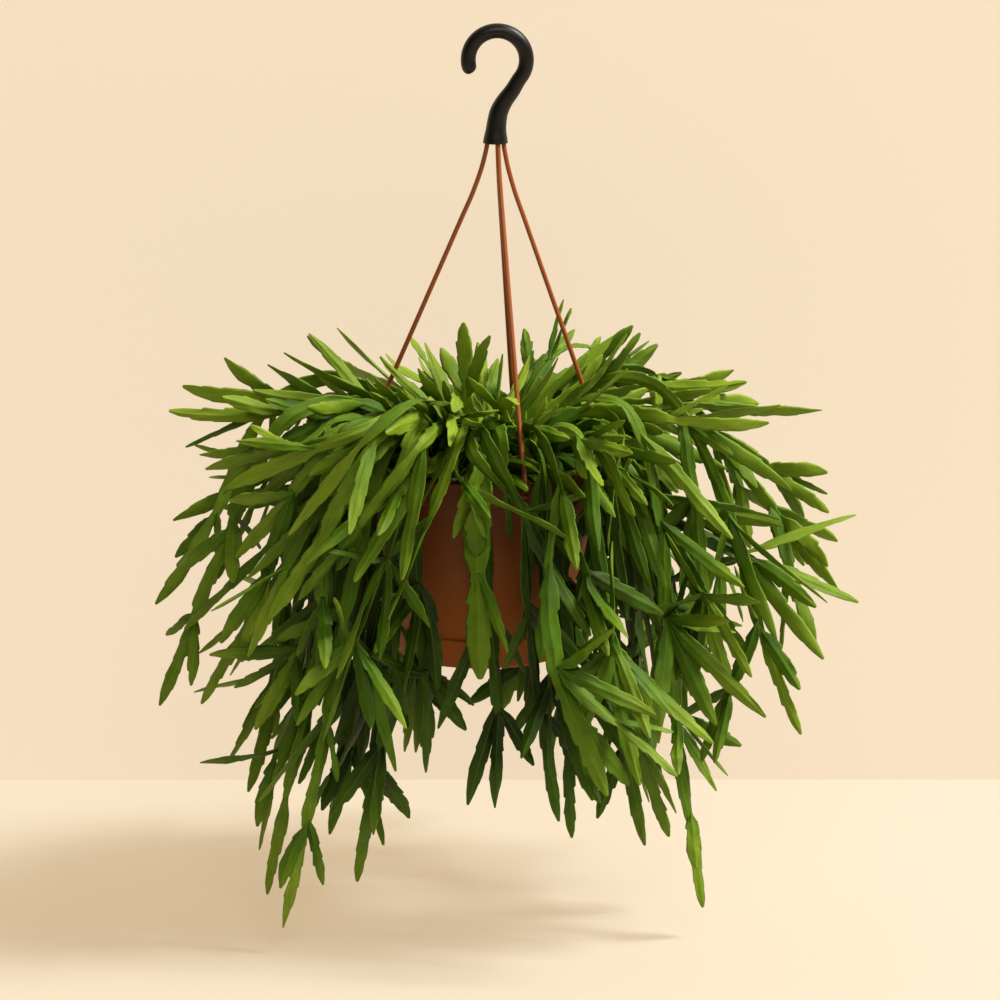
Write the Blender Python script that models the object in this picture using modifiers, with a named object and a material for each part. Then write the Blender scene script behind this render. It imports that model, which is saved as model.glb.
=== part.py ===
"""Potted rhipsalis micrantha in its hanging pot.

The plant is a crown of branched leafy stems, each one a set of chains of flat notched segments. It
stands in the soil of a terracotta-coloured plastic pot with a clip-on saucer, which hangs by four thin
rods from a dark plastic hook. Lengths are in metres, +Z up. The origin is the inside top of the hook's
crook, where the whole thing hangs.
"""
import math

import bmesh
import bpy
import numpy as np
from mathutils import Vector
from mathutils.bvhtree import BVHTree

MM = 0.001

# Pot, saucer and soil: heights are above the rim plane, and every turned piece is on the pot's axis
POT_X = -10.4 * MM
RIM_Z = -289 * MM
RIM_R = 85 * MM
RIM_BAND = 16.6 * MM
BODY_TOP_R = 81 * MM
FOOT_R = 57 * MM
POT_HEIGHT = 131 * MM
WALL = 2 * MM
FLOOR = 2.4 * MM
DRAIN_R = 3 * MM
DRAIN_RING = 34 * MM
SAUCER_R = 61.2 * MM
SAUCER_FOOT_R = 59 * MM
SAUCER_TOP = -115 * MM
SAUCER_BOTTOM = -134.5 * MM
SAUCER_WALL = 1.6 * MM
SNAP = 0.9 * MM
SOIL_TOP = -10 * MM
SOIL_CROWN = 3 * MM
TURN_STEPS = 30
GAP = 0.3 * MM
NECK_R = SAUCER_R - SAUCER_WALL - GAP - 0.4 * MM

# Hook and rods
CROOK_INNER_R = 14.5 * MM
HOOK_R = 5.1 * MM
COLLAR_R = 8.5 * MM
COLLAR_X = -1.3 * MM
COLLAR_BOTTOM = -71 * MM
ROD_R = 1.6 * MM
ROD_RING = 5.5 * MM
ROD_AZIMUTHS = {"right": 0, "rear": 75, "left": 180, "front": 289}
SOCKET_DEPTH = 4.5 * MM
SOCKET_R = 1.8 * MM
HOLE_R = 1.95 * MM
EAR_R = 88 * MM
EAR_WIDE = 9 * MM
EAR_THICK = 5 * MM
EAR_TOP = -1.5 * MM
BEAD_R = 2.5 * MM

# Stems: a chain of flat segments, each with a rib on its outer face and notched margins
SEGMENT = 68 * MM
SEGMENT_WIDE = 11.8 * MM
RIB = 2.2 * MM
STATIONS = 3
FORK_BACK = 0.16
FORK_NECK = 1.9 * MM
MAIN_NECK = 4.2 * MM
TRUNK_R = 3.6 * MM
TRUNK_SIDES = 5
TRUNK_DEEP = 13.7 * MM
TRUNK_TALL = 12 * MM
TRUNK_START = 7 * MM
TRUNK_SPACE = 11.5 * MM
HOLE_GAP = 0.5 * MM
CLEAR = 0.45 * MM
TRIES = 175
TIP_SLACK = 12 * MM
FILLER_SLACK = 38 * MM

# Tips of the stems that give the outline: x and y from the pot's axis and height above the rim, in mm
RISING_TIPS = (
    (-120, 20, 84), (-135, -30, 80), (-70, -10, 74), (-40, 30, 76), (14, 40, 66), (40, -20, 58),
    (-26, -40, 60), (-58, -50, 60), (90, 40, 78), (100, 10, 70), (122, -10, 54), (-160, -10, 50),
    (-207, 20, 48), (-213, -30, 34), (175, 60, 52), (183, 20, 50), (156, -30, 54), (193, 50, 28),
    (205, -10, 40), (232, 0, 32), (201, -60, 30), (60, -60, 43), (-90, -80, 40),
)
REACHING_TIPS = (
    (241, 40, -19), (257, -20, -35), (243, 50, -50), (202, -60, -30), (250, 60, -73), (248, 30, -100),
    (257, -50, -90), (233, -90, -81), (186, -110, -75), (233, -60, -128), (231, 0, -133),
    (224, -60, -175), (192, -100, -158), (180, -20, -200), (168, -70, -207), (156, -110, -173),
    (150, -60, -200), (158, -70, -295), (151, -20, -265), (126, -90, -241), (-228, 0, -103),
    (-216, 30, -51), (-208, 50, -3), (-187, -50, 0), (-172, -60, -63), (-166, -90, 0),
    (-135, -110, -303), (-148, -60, -295), (-155, -30, -272), (-152, -100, -217), (-144, -60, -213),
    (-164, 0, -239), (-195, -40, -206), (-179, 20, -222), (-185, -80, -119), (-224, -10, -172),
    (130, -40, -180), (140, -30, -150), (170, -40, -150), (-120, -60, -190), (-130, -20, -220),
    (-170, -50, -150), (-205, -30, -114), (-164, -110, -96), (-143, -130, -78), (-117, -150, -41),
    (-97, -140, -64), (-114, -120, 13), (200, -70, -112), (182, -92, -132), (166, -104, -90),
)
FALLING_TIPS = (
    (112, -60, -260), (81, -80, -224), (62, -45, -259), (67, -75, -172), (49, 60, -233), (31, 75, -210),
    (9, -76, -228), (-10, -78, -226), (-6, 76, -197), (-30, -90, -169), (-41, -74, -206),
    (-50, -58, -241), (-68, -50, -263), (-74, -90, -243), (-86, -80, -280), (-106, -30, -261),
    (-68, -120, -71), (76, -130, -36), (75, -108, -44), (102, -120, -13), (19, -110, -39),
    (-55, -88, -95), (-62, -84, -140), (-76, -74, -170), (-50, -100, -40), (58, -92, -95),
    (66, -82, -140), (50, -100, -50), (110, -90, -200), (95, -60, -190), (120, 20, -220),
    (90, 30, -180), (-100, -90, -200), (-90, -30, -210), (-110, 20, -200),
)
FRONT_TIPS = (
    (-1, -110, -129), (69, -115, -2), (-62, -110, 2), (-12, -50, 104), (-36, -108, 12), (40, -112, 14),
)
BROAD_TIPS = {
    (-1, -110, -129): 1.7, (69, -115, -2): 1.6, (19, -110, -39): 1.3, (-62, -110, 2): 1.3,
    (-12, -50, 104): 1.2,
}

GROWING_ORDER = ("front", "falling", "reaching", "rising", "short")

# Where each kind of stem leaves the soil, and how many of its tips share one trunk
KINDS = {
    "rising": {"ring": 17 * MM, "share": 8},
    "short": {"ring": 31 * MM, "share": 8},
    "reaching": {"ring": 45 * MM, "share": 9},
    "falling": {"ring": 61 * MM, "share": 8},
    "front": {"ring": 36 * MM, "share": 6},
}


def reset_scene():
    """Remove what the scene holds and make the collections for the part and its cutters."""
    for item in list(bpy.data.objects):
        bpy.data.objects.remove(item, do_unlink=True)
    groups = []
    for name in ("potted_rhipsalis", "cutters"):
        group = bpy.data.collections.new(name)
        bpy.context.scene.collection.children.link(group)
        groups.append(group)
    return groups


def surface(name, colour, roughness, metallic=0.0):
    """A plain Principled material."""
    made = bpy.data.materials.new(name)
    made.use_nodes = True
    shader = made.node_tree.nodes["Principled BSDF"]
    shader.inputs["Base Color"].default_value = (*colour, 1)
    shader.inputs["Roughness"].default_value = roughness
    shader.inputs["Metallic"].default_value = metallic
    return made


def add_object(name, mesh, group, material=None):
    """Link a new object of this mesh into the group."""
    item = bpy.data.objects.new(name, mesh)
    group.objects.link(item)
    if material:
        mesh.materials.clear()
        mesh.materials.append(material)
    return item


def mesh_from(name, points, faces):
    """A mesh from an array of points and a list of faces."""
    mesh = bpy.data.meshes.new(name)
    mesh.from_pydata([tuple(p) for p in points], [], [tuple(f) for f in faces])
    mesh.validate()
    return mesh


def turned(name, profile, group, material, steps=TURN_STEPS):
    """Turn a profile of (radius, height) about the pot's axis; its outer side runs top to bottom."""
    mesh = bpy.data.meshes.new(name)
    mesh.from_pydata([(r, 0, z) for r, z in profile], [(i, i + 1) for i in range(len(profile) - 1)], [])
    item = add_object(name, mesh, group, material)
    item.location = (POT_X, 0, RIM_Z)
    screw = item.modifiers.new("Turn", "SCREW")
    screw.steps = screw.render_steps = steps
    screw.use_merge_vertices = True
    screw.merge_threshold = 0.00005
    return item


def evaluated_mesh(item):
    """The object's mesh with its modifiers applied, its doubles merged and its matrix applied."""
    bpy.context.view_layer.update()
    seen = item.evaluated_get(bpy.context.evaluated_depsgraph_get())
    mesh = bpy.data.meshes.new_from_object(seen)
    mesh.transform(item.matrix_world)
    work = bmesh.new()
    work.from_mesh(mesh)
    bmesh.ops.remove_doubles(work, verts=work.verts, dist=0.000001)
    bmesh.ops.recalc_face_normals(work, faces=work.faces)
    work.to_mesh(mesh)
    work.free()
    return mesh


def replace_by_mesh(item, group, material):
    """Put a plain mesh object in the place of a curve or of an object with modifiers."""
    name = item.name
    mesh = evaluated_mesh(item)
    bpy.data.objects.remove(item, do_unlink=True)
    mesh.name = name
    return add_object(name, mesh, group, material)


def tube(name, points, radii, group, sides=8):
    """A tube as a curve through the points with a radius at each."""
    curve = bpy.data.curves.new(name, "CURVE")
    curve.dimensions = "3D"
    curve.bevel_depth = 1.0
    curve.bevel_resolution = sides // 2 - 2
    curve.use_fill_caps = True
    spline = curve.splines.new("POLY")
    spline.points.add(len(points) - 1)
    for slot, place, radius in zip(spline.points, points, radii):
        slot.co = (*place, 1)
        slot.radius = radius
    item = bpy.data.objects.new(name, curve)
    group.objects.link(item)
    return item


def drum(name, radius, low, high, group, sides=12, top_radius=None):
    """A cylinder or cone standing on the point low, up to the height of high."""
    mesh = bpy.data.meshes.new(name)
    work = bmesh.new()
    tall = (Vector(high) - Vector(low)).length
    bmesh.ops.create_cone(work, cap_ends=True, segments=sides, radius1=radius,
                          radius2=radius if top_radius is None else top_radius, depth=tall)
    work.to_mesh(mesh)
    work.free()
    item = add_object(name, mesh, group)
    item.location = (Vector(low) + Vector(high)) / 2
    return item


def tidy_union(mesh, degrees=1.0):
    """Keep a union's outer surface alone, so that no hollow stays in it, and join faces in one plane."""
    work = bmesh.new()
    work.from_mesh(mesh)
    left = set(work.verts)
    shells = []
    while left:
        shell = [left.pop()]
        for vert in shell:
            for edge in vert.link_edges:
                other = edge.other_vert(vert)
                if other in left:
                    left.remove(other)
                    shell.append(other)
        shells.append(shell)
    shells.sort(key=len)
    for shell in shells[:-1]:
        bmesh.ops.delete(work, geom=shell, context="VERTS")
    bmesh.ops.dissolve_limit(work, angle_limit=math.radians(degrees), verts=work.verts, edges=work.edges)
    bmesh.ops.triangulate(work, faces=work.faces)
    work.to_mesh(mesh)
    work.free()


def apply_modifiers(item):
    """Give the object its evaluated mesh in place of its modifiers, with the one material it had."""
    mesh = evaluated_mesh(item)
    mesh.transform(item.matrix_world.inverted())
    item.modifiers.clear()
    old = item.data
    material = old.materials[0] if old.materials else None
    mesh.materials.clear()
    if material:
        mesh.materials.append(material)
    item.data = mesh
    bpy.data.meshes.remove(old)
    mesh.name = item.name
    return item


def combine(item, operation, others, cutters, solver="EXACT"):
    """One Boolean with a collection of other objects, applied, after which those objects are removed."""
    pack = bpy.data.collections.new("operands")
    cutters.children.link(pack)
    for other in others:
        for group in list(other.users_collection):
            group.objects.unlink(other)
        pack.objects.link(other)
    step = item.modifiers.new(operation.title(), "BOOLEAN")
    step.operation = operation
    step.solver = solver
    step.operand_type = "COLLECTION"
    step.collection = pack
    apply_modifiers(item)
    for other in list(pack.objects):
        bpy.data.objects.remove(other, do_unlink=True)
    bpy.data.collections.remove(pack)
    return item


def polar(radius, degrees, height=0.0):
    """A point round the pot's axis, at a height above the rim plane."""
    turn = math.radians(degrees)
    return np.array([POT_X + radius * math.cos(turn), radius * math.sin(turn), RIM_Z + height])


def make_pot(group, cutters):
    """The pot: a turned shell with a rim band, a snap groove, ears for the rods and drain holes."""
    foot = -POT_HEIGHT
    groove_top = SAUCER_TOP - 2.5 * MM
    groove_foot = groove_top - 3 * MM
    floor = foot + FLOOR
    profile = [
        (0, floor), (FOOT_R - WALL, floor), (NECK_R - WALL, SAUCER_TOP), (BODY_TOP_R - WALL, -RIM_BAND),
        (RIM_R - WALL, -RIM_BAND + 3 * MM), (RIM_R - WALL, 0), (RIM_R, 0), (RIM_R - MM, -RIM_BAND),
        (BODY_TOP_R, -RIM_BAND - 0.6 * MM), (NECK_R, groove_top), (NECK_R - SNAP, groove_top - 0.4 * MM),
        (NECK_R - SNAP, groove_foot), (NECK_R - 0.4 * MM, groove_foot - 0.4 * MM), (FOOT_R, foot),
        (0, foot),
    ]
    plastic = surface("terracotta plastic", (0.17, 0.045, 0.016), 0.55)
    pot = apply_modifiers(turned("pot", profile, group, plastic))
    ears = []
    bores = []
    for name, turn in ROD_AZIMUTHS.items():
        inner, outer = RIM_R - 1.2 * MM, EAR_R + EAR_WIDE / 2
        ear = add_box("ear_" + name, (outer - inner, EAR_WIDE, EAR_THICK), cutters, round_end=4 * MM)
        ear.location = polar((outer + inner) / 2, turn, EAR_TOP - EAR_THICK / 2)
        ear.rotation_euler.z = math.radians(turn)
        ears.append(ear)
        low, high = polar(EAR_R, turn, -2 * EAR_THICK), polar(EAR_R, turn, EAR_THICK)
        bores.append(drum("bore_" + name, HOLE_R, low, high, cutters, sides=8))
    combine(pot, "UNION", ears, cutters)
    for quarter in range(4):
        turn = 45 + 90 * quarter
        bores.append(drum(f"drain_{quarter}", DRAIN_R, polar(DRAIN_RING, turn, foot - MM),
                          polar(DRAIN_RING, turn, floor + MM), cutters, sides=8))
    combine(pot, "DIFFERENCE", bores, cutters)
    return pot


def add_box(name, size, group, round_end):
    """A box of this size about its own middle, with its two upright edges at +X rounded."""
    mesh = bpy.data.meshes.new(name)
    work = bmesh.new()
    bmesh.ops.create_cube(work, size=1)
    bmesh.ops.scale(work, vec=size, verts=work.verts)
    upright = [edge for edge in work.edges
               if all(v.co.x > 0 for v in edge.verts) and edge.verts[0].co.y == edge.verts[1].co.y]
    bmesh.ops.bevel(work, geom=upright, offset=round_end, segments=3, profile=0.5, affect="EDGES")
    work.to_mesh(mesh)
    work.free()
    return add_object(name, mesh, group)


def make_saucer(group):
    """The clip-on saucer, whose inner bead snaps into the groove round the pot's foot."""
    inner = SAUCER_R - SAUCER_WALL
    bead = inner - SNAP - 0.4 * MM
    middle = SAUCER_TOP - 4.2 * MM
    floor = SAUCER_BOTTOM + SAUCER_WALL
    profile = [
        (0, floor), (SAUCER_FOOT_R - SAUCER_WALL, floor), (inner - 0.4 * MM, middle - 1.3 * MM),
        (bead, middle - 0.8 * MM), (bead, middle + 0.8 * MM), (inner, middle + 1.6 * MM),
        (inner, SAUCER_TOP), (SAUCER_R, SAUCER_TOP), (SAUCER_FOOT_R, SAUCER_BOTTOM + MM),
        (SAUCER_FOOT_R - MM, SAUCER_BOTTOM), (0, SAUCER_BOTTOM),
    ]
    return turned("saucer", profile, group, surface("saucer plastic", (0.17, 0.045, 0.016), 0.5))


def make_soil(group):
    """The plug of soil, slightly domed, which fills the pot to just under its rim."""
    foot = -POT_HEIGHT + FLOOR + GAP
    inside = WALL + GAP
    profile = [
        (0, SOIL_TOP + SOIL_CROWN), (RIM_R - inside, SOIL_TOP),
        (RIM_R - inside, -RIM_BAND + 3.4 * MM), (BODY_TOP_R - inside, -RIM_BAND),
        (NECK_R - inside, SAUCER_TOP), (FOOT_R - inside, foot), (0, foot),
    ]
    earth = surface("potting soil", (0.035, 0.02, 0.012), 0.95)
    return apply_modifiers(turned("soil", profile, group, earth))


def bore_soil(soil, cutters, trunks):
    """Cut a plain hole in the soil for each trunk."""
    holes = []
    for number, place in enumerate(trunks):
        low = place - (0, 0, TRUNK_DEEP + GAP)
        high = place + (0, 0, 2 * SOIL_CROWN)
        hole = drum(f"hole_{number}", TRUNK_R + HOLE_GAP, low, high, cutters, TRUNK_SIDES)
        hole.rotation_euler.z = math.radians(-90)
        holes.append(hole)
    return combine(soil, "DIFFERENCE", holes, cutters)


def make_hook(group, cutters):
    """The hook: a crook whose tube swells down its curved neck to a flared collar with four sockets."""
    ring = CROOK_INNER_R + HOOK_R
    centre = -CROOK_INNER_R
    tip = 191
    points = []
    radii = []
    for beyond, radius in ((5.2, 1.4), (4.2, 3.4), (2.2, 4.7)):
        turn = math.radians(tip) + beyond * MM / ring
        points.append((ring * math.cos(turn), 0, centre + ring * math.sin(turn)))
        radii.append(radius * MM)
    for degrees in np.linspace(tip, -40, 13):
        turn = math.radians(degrees)
        points.append((ring * math.cos(turn), 0, centre + ring * math.sin(turn)))
        radii.append(HOOK_R)
    neck = ((9.9, -35.5, 5.4), (4.6, -42.8, 5.8), (1.1, -49.8, 6.3), (-0.3, -56.5, 6.6),
            (-0.9, -62.5, 7.1), (-1.2, -67.0, 7.95))
    points += [(x * MM, 0, z * MM) for x, z, _ in neck] + [(COLLAR_X, 0, COLLAR_BOTTOM)]
    radii += [radius * MM for _, _, radius in neck] + [COLLAR_R]
    hook = tube("hook", points, radii, cutters, sides=12)
    hook = replace_by_mesh(hook, group, surface("black moulded plastic", (0.012, 0.013, 0.012), 0.38))
    sockets = []
    for name, turn in ROD_AZIMUTHS.items():
        angle = math.radians(turn)
        place = Vector((COLLAR_X + ROD_RING * math.cos(angle), ROD_RING * math.sin(angle), 0))
        sockets.append(drum("socket_" + name, SOCKET_R, place + Vector((0, 0, COLLAR_BOTTOM - 2 * MM)),
                            place + Vector((0, 0, COLLAR_BOTTOM + SOCKET_DEPTH)), cutters, sides=8))
    combine(hook, "DIFFERENCE", sockets, cutters)
    return hook


def make_rods(group, cutters):
    """Four thin rods, from the collar's sockets out to the rim's ears, each with a bead under its ear."""
    plastic = surface("rod plastic", (0.42, 0.14, 0.05), 0.4)
    route = ((0, -66.8), (0, -70), (0.02, -80), (0.10, -103), (0.78, -246), (0.955, -279), (1, -288))
    rods = []
    for name, turn in ROD_AZIMUTHS.items():
        angle = math.radians(turn)
        top = np.array([COLLAR_X + ROD_RING * math.cos(angle), ROD_RING * math.sin(angle), 0])
        ear = polar(EAR_R, turn) * (1, 1, 0)
        points = [tuple(top + (ear - top) * part + (0, 0, z * MM)) for part, z in route]
        radii = [ROD_R] * len(points)
        under = RIM_Z + EAR_TOP - EAR_THICK - GAP
        for down, radius in ((0.0, ROD_R), (0.3 * MM, BEAD_R), (2.6 * MM, BEAD_R), (4 * MM, 1.3 * MM)):
            points.append((ear[0], ear[1], under - down))
            radii.append(radius)
        rod = tube("rod_" + name, points, radii, cutters, sides=8)
        rods.append(replace_by_mesh(rod, group, plastic))
    return rods


def unit(vector):
    """The vector at length one, for one vector or a row of them."""
    return vector / np.linalg.norm(vector, axis=-1, keepdims=True)


def bezier(a, b, c, d, count):
    """Points along a cubic curve with ends a and d and handles b and c."""
    t = np.linspace(0, 1, count)[:, None]
    s = 1 - t
    return s ** 3 * a + 3 * s * s * t * b + 3 * s * t * t * c + t ** 3 * d


def even(points, count):
    """Points spaced evenly along a polyline, and its length."""
    run = np.concatenate([[0], np.cumsum(np.linalg.norm(np.diff(points, axis=0), axis=1))])
    at = np.linspace(0, run[-1], count)
    return np.column_stack([np.interp(at, run, points[:, axis]) for axis in range(3)]), run[-1]


def outward(degrees, lift):
    """A direction away from the pot's axis, lifted above the level by so many degrees."""
    turn = math.radians(degrees)
    rise = math.radians(lift)
    return np.array([math.cos(turn) * math.cos(rise), math.sin(turn) * math.cos(rise), math.sin(rise)])


def make_chain(route, azimuth, wide, rng, neck):
    """A chain of flat segments along a route, with small knees at its joints and each segment turned."""
    path, length = even(route, 65)
    segments = max(1, round(length / SEGMENT))
    knees = rng.normal(0, 2.6 * MM, (segments + 1, 3))
    knees[0] = 0
    knees[-1] = 0
    at = np.linspace(0, segments, 65)
    joints = np.arange(segments + 1)
    path = path + np.column_stack([np.interp(at, joints, knees[:, axis]) for axis in range(3)])
    aside, ahead = math.cos(math.radians(azimuth)), math.sin(math.radians(azimuth))
    facing = rng.choice((-1, 1, 1, 1)) * math.copysign(62, -ahead * aside) * abs(aside)
    turns = facing + np.clip(rng.normal(0, 28) + np.cumsum(rng.normal(0, 14, segments)), -40, 40)
    sizes = wide * rng.uniform(0.85, 1.12, segments)
    return {"path": path, "segments": segments, "azimuth": azimuth, "turns": np.radians(turns),
            "wide": sizes, "neck": neck}


def chain_frame(chain, marks):
    """Places along a chain with the directions along it, across its blade and out of its ribbed face."""
    path = chain["path"]
    at = marks / chain["segments"] * (len(path) - 1)
    steps = np.arange(len(path))
    slope = np.gradient(path, axis=0)
    place = np.column_stack([np.interp(at, steps, path[:, axis]) for axis in range(3)])
    along = unit(np.column_stack([np.interp(at, steps, slope[:, axis]) for axis in range(3)]))
    turn = math.radians(chain["azimuth"])
    level = np.array([-math.sin(turn), math.cos(turn), 0])
    across = unit(level - (along @ level)[:, None] * along)
    face = np.cross(along, across)
    joints = np.arange(chain["segments"] + 1)
    near = np.clip((marks - np.round(marks)) / 0.18, -1, 1)
    before = np.clip(np.round(marks) - 1, 0, chain["segments"] - 1).astype(int)
    after = np.clip(np.round(marks), 0, chain["segments"] - 1).astype(int)
    roll = chain["turns"][before] * (1 - near) / 2 + chain["turns"][after] * (1 + near) / 2
    roll = np.where(marks < 0.5, chain["turns"][0], roll)
    roll = np.where(marks > joints[-1] - 0.5, chain["turns"][-1], roll)
    cos, sin = np.cos(roll)[:, None], np.sin(roll)[:, None]
    return place, along, cos * across + sin * face, cos * face - sin * across


def chain_skin(chain, extra=0.0, skip=0):
    """The chain's solid: a section of two margins and a rib, notched left and right by turns."""
    marks = np.concatenate([k + np.array([0.0, 0.24, 0.68]) for k in range(chain["segments"])])[skip:]
    place, along, across, face = chain_frame(chain, marks)
    sizes = np.repeat(chain["wide"], STATIONS)[skip:] / 2
    left = sizes * np.tile([0.52, 1.0, 0.8], chain["segments"])[skip:] + extra
    right = sizes * np.tile([0.52, 0.84, 1.0], chain["segments"])[skip:] + extra
    low = np.full(len(marks), RIB / 3 + extra)
    high = np.full(len(marks), RIB * 2 / 3 + 2 * extra)
    if not skip:
        left[0] = right[0] = chain["neck"] / 2
        low[0] = 0.4 * MM
        high[0] = min(RIB * 2 / 3, chain["neck"] / 2)
    ring = np.stack([
        place + across * left[:, None] - face * low[:, None],
        place + face * high[:, None],
        place - across * right[:, None] - face * low[:, None],
    ], axis=1)
    tip = chain["path"][-1] + along[-1] * extra
    points = np.vstack([ring.reshape(-1, 3), tip])
    faces = [(0, 2, 1)]
    last = len(marks) - 1
    for k in range(last):
        for a, b in ((0, 1), (1, 2), (2, 0)):
            p, q, r, s = 3 * k + a, 3 * k + b, 3 * k + 3 + b, 3 * k + 3 + a
            faces += [(p, q, r), (p, r, s)]
    for a, b in ((0, 1), (1, 2), (2, 0)):
        faces.append((3 * last + a, 3 * last + b, len(points) - 1))
    return points, faces


class Clearance:
    """What has been placed so far, by owner, to test whether a new piece is clear of all others."""

    def __init__(self):
        self.owners = []
        self.low = []
        self.high = []
        self.trees = []

    def add(self, owner, points, faces):
        self.owners.append(owner)
        self.low.append(points.min(axis=0))
        self.high.append(points.max(axis=0))
        self.trees.append(BVHTree.FromPolygons([tuple(p) for p in points], faces, all_triangles=True))

    def is_free(self, owner, points, faces):
        low, high = points.min(axis=0), points.max(axis=0)
        near = np.all((np.array(self.low) < high) & (np.array(self.high) > low), axis=1)
        tree = BVHTree.FromPolygons([tuple(p) for p in points], faces, all_triangles=True)
        others = [k for k in np.flatnonzero(near) if self.owners[k] != owner]
        return not any(tree.overlap(self.trees[k]) for k in others)


def obstacle(item):
    """An object's own triangles, for the clearance test."""
    mesh = evaluated_mesh(item)
    mesh.calc_loop_triangles()
    points = np.array([tuple(v.co) for v in mesh.vertices])
    faces = [tuple(t.vertices) for t in mesh.loop_triangles]
    bpy.data.meshes.remove(mesh)
    return points, faces


def trunk_skin(place, extra=0.0):
    """A stub of stem: a few sides, from inside its hole to a little above the soil."""
    sides = TRUNK_SIDES
    turn = np.linspace(0, 2 * math.pi, sides, endpoint=False)
    rim = np.column_stack([np.cos(turn), np.sin(turn), np.zeros(sides)])
    low = place + rim * (TRUNK_R + extra) - (0, 0, TRUNK_DEEP)
    high = place + rim * (TRUNK_R * 0.85 + extra) + (0, 0, TRUNK_TALL)
    faces = [(0, k + 1, k) for k in range(1, sides - 1)]
    faces += [(sides, sides + k, sides + k + 1) for k in range(1, sides - 1)]
    for a in range(sides):
        b = (a + 1) % sides
        faces += [(a, b, b + sides), (a, b + sides, a + sides)]
    return np.vstack([low, high]), faces


def filler_tips():
    """Tips by rule for what the front view's outline leaves open: back, canopy and inner curtain."""
    rng = np.random.default_rng(11)
    rules = (
        ("reaching", 24, (12, 168), (150, 232), (-230, 12)),
        ("falling", 13, (15, 165), (88, 135), (-270, -90)),
        ("rising", 9, (12, 168), (70, 200), (35, 75)),
        ("short", 14, (-172, -8), (70, 150), (8, 45)),
        ("short", 9, (10, 170), (40, 130), (15, 55)),
        ("rising", 8, (-180, 180), (20, 60), (38, 62)),
        ("reaching", 14, (-178, -118), (125, 195), (-180, -20)),
        ("reaching", 12, (-64, -4), (125, 205), (-180, -20)),
        ("falling", 6, (-160, -112), (92, 125), (-190, -50)),
        ("falling", 6, (-65, -20), (92, 125), (-190, -50)),
        ("falling", 10, (-166, -14), (100, 135), (-15, 22)),
    )
    tips = []
    for kind, count, turns, reaches, heights in rules:
        for k in range(count):
            turn = math.radians(turns[0] + (turns[1] - turns[0]) * (k + rng.uniform(0.1, 0.9)) / count)
            reach = rng.uniform(*reaches)
            x, y = reach * math.cos(turn), reach * math.sin(turn)
            tips.append((kind, x, y, rng.uniform(*heights), 1.0, FILLER_SLACK))
    return tips


def all_tips():
    """Every tip with its kind and width, the photographed ones and those placed by rule."""
    tips = []
    kinds = ("rising", "reaching", "falling", "front")
    for kind, group in zip(kinds, (RISING_TIPS, REACHING_TIPS, FALLING_TIPS, FRONT_TIPS)):
        tips += [(kind, *tip, BROAD_TIPS.get(tip, 1.0), TIP_SLACK) for tip in group]
    return tips + filler_tips()


def group_tips():
    """Sort the tips of each kind round the pot and give each few neighbours one trunk."""
    plants = []
    tips = all_tips()
    for kind, rule in KINDS.items():
        own = sorted((math.degrees(math.atan2(t[2], t[1])), t) for t in tips if t[0] == kind)
        count = math.ceil(len(own) / rule["share"])
        for k in range(count):
            part = own[len(own) * k // count:len(own) * (k + 1) // count]
            middle = sum(turn for turn, _ in part) / len(part)
            plants.append({"kind": kind, "azimuth": middle, "tips": part})
    for _ in range(300):
        for plant in plants:
            ring = KINDS[plant["kind"]]["ring"]
            plant["root"] = polar(ring, plant["azimuth"], SOIL_TOP + 0.6 * SOIL_CROWN)
        for one in plants:
            for other in plants:
                apart = np.linalg.norm(one["root"] - other["root"])
                if one is not other and apart < TRUNK_SPACE:
                    side = 1 if (one["azimuth"] - other["azimuth"]) % 360 < 180 else -1
                    one["azimuth"] += side * 0.5
    return plants


def main_route(plant, tip, change):
    """From the trunk to a tip: one rising span, or one to a crest past the rim and one down from it."""
    start = plant["root"] + (0, 0, TRUNK_START)
    kind, x, y = tip[:3]
    end = tip_place(tip) + change["tip"]
    reach = math.hypot(x, y)
    turn = math.degrees(math.atan2(y, x))
    if kind in ("rising", "short") or tip[3] > -10 and reach < 140:
        line = end - start
        far = np.linalg.norm(line)
        lift = math.degrees(math.asin(line[2] / far))
        aim = turn + change["turn"]
        first = start + far * 0.42 * outward(aim, min(82, lift + 26 + change["lift"]))
        second = end - far * 0.3 * outward(turn, end_lift(tip))
        return bezier(start, first, second, end, 40)
    crest_r = (86 + 0.24 * max(0, reach - 85) + change["out"]) * MM
    crest_h = (13 + 0.24 * max(0, reach - 85) + change["up"]) * MM
    swing = (plant["azimuth"] - turn + 180) % 360 - 180
    pull = (90 if turn > 0 else -90) - turn
    crest_turn = turn + 0.25 * swing + (0.1 + 0.3 * min(1, max(0, -tip[3] / 220))) * pull + change["turn"]
    crest = polar(crest_r, crest_turn, crest_h)
    rise = crest - start
    over = outward(crest_turn, -14)
    first = start + (0, 0, 0.7 * rise[2] + 6 * MM) + 0.12 * rise * (1, 1, 0)
    up = bezier(start, first, crest - over * 0.45 * np.linalg.norm(rise[:2]), crest, 24)
    fall = end - crest
    far = np.linalg.norm(fall)
    level = np.linalg.norm(fall[:2])
    down = unit(fall + (0, 0, -0.06 * far) + 0.12 * level * outward(turn, 0))
    handle = crest + over * min(0.3 * level + 13 * MM, 0.4 * far)
    return np.vstack([up, bezier(crest, handle, end - down * 0.42 * far, end, 40)[1:]])


def end_lift(tip):
    """How steeply a rising tip points up, in degrees: the nearer the crown, the more upright."""
    return 78 - 0.3 * math.hypot(tip[1], tip[2]) if tip[3] > 28 else -15


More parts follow.
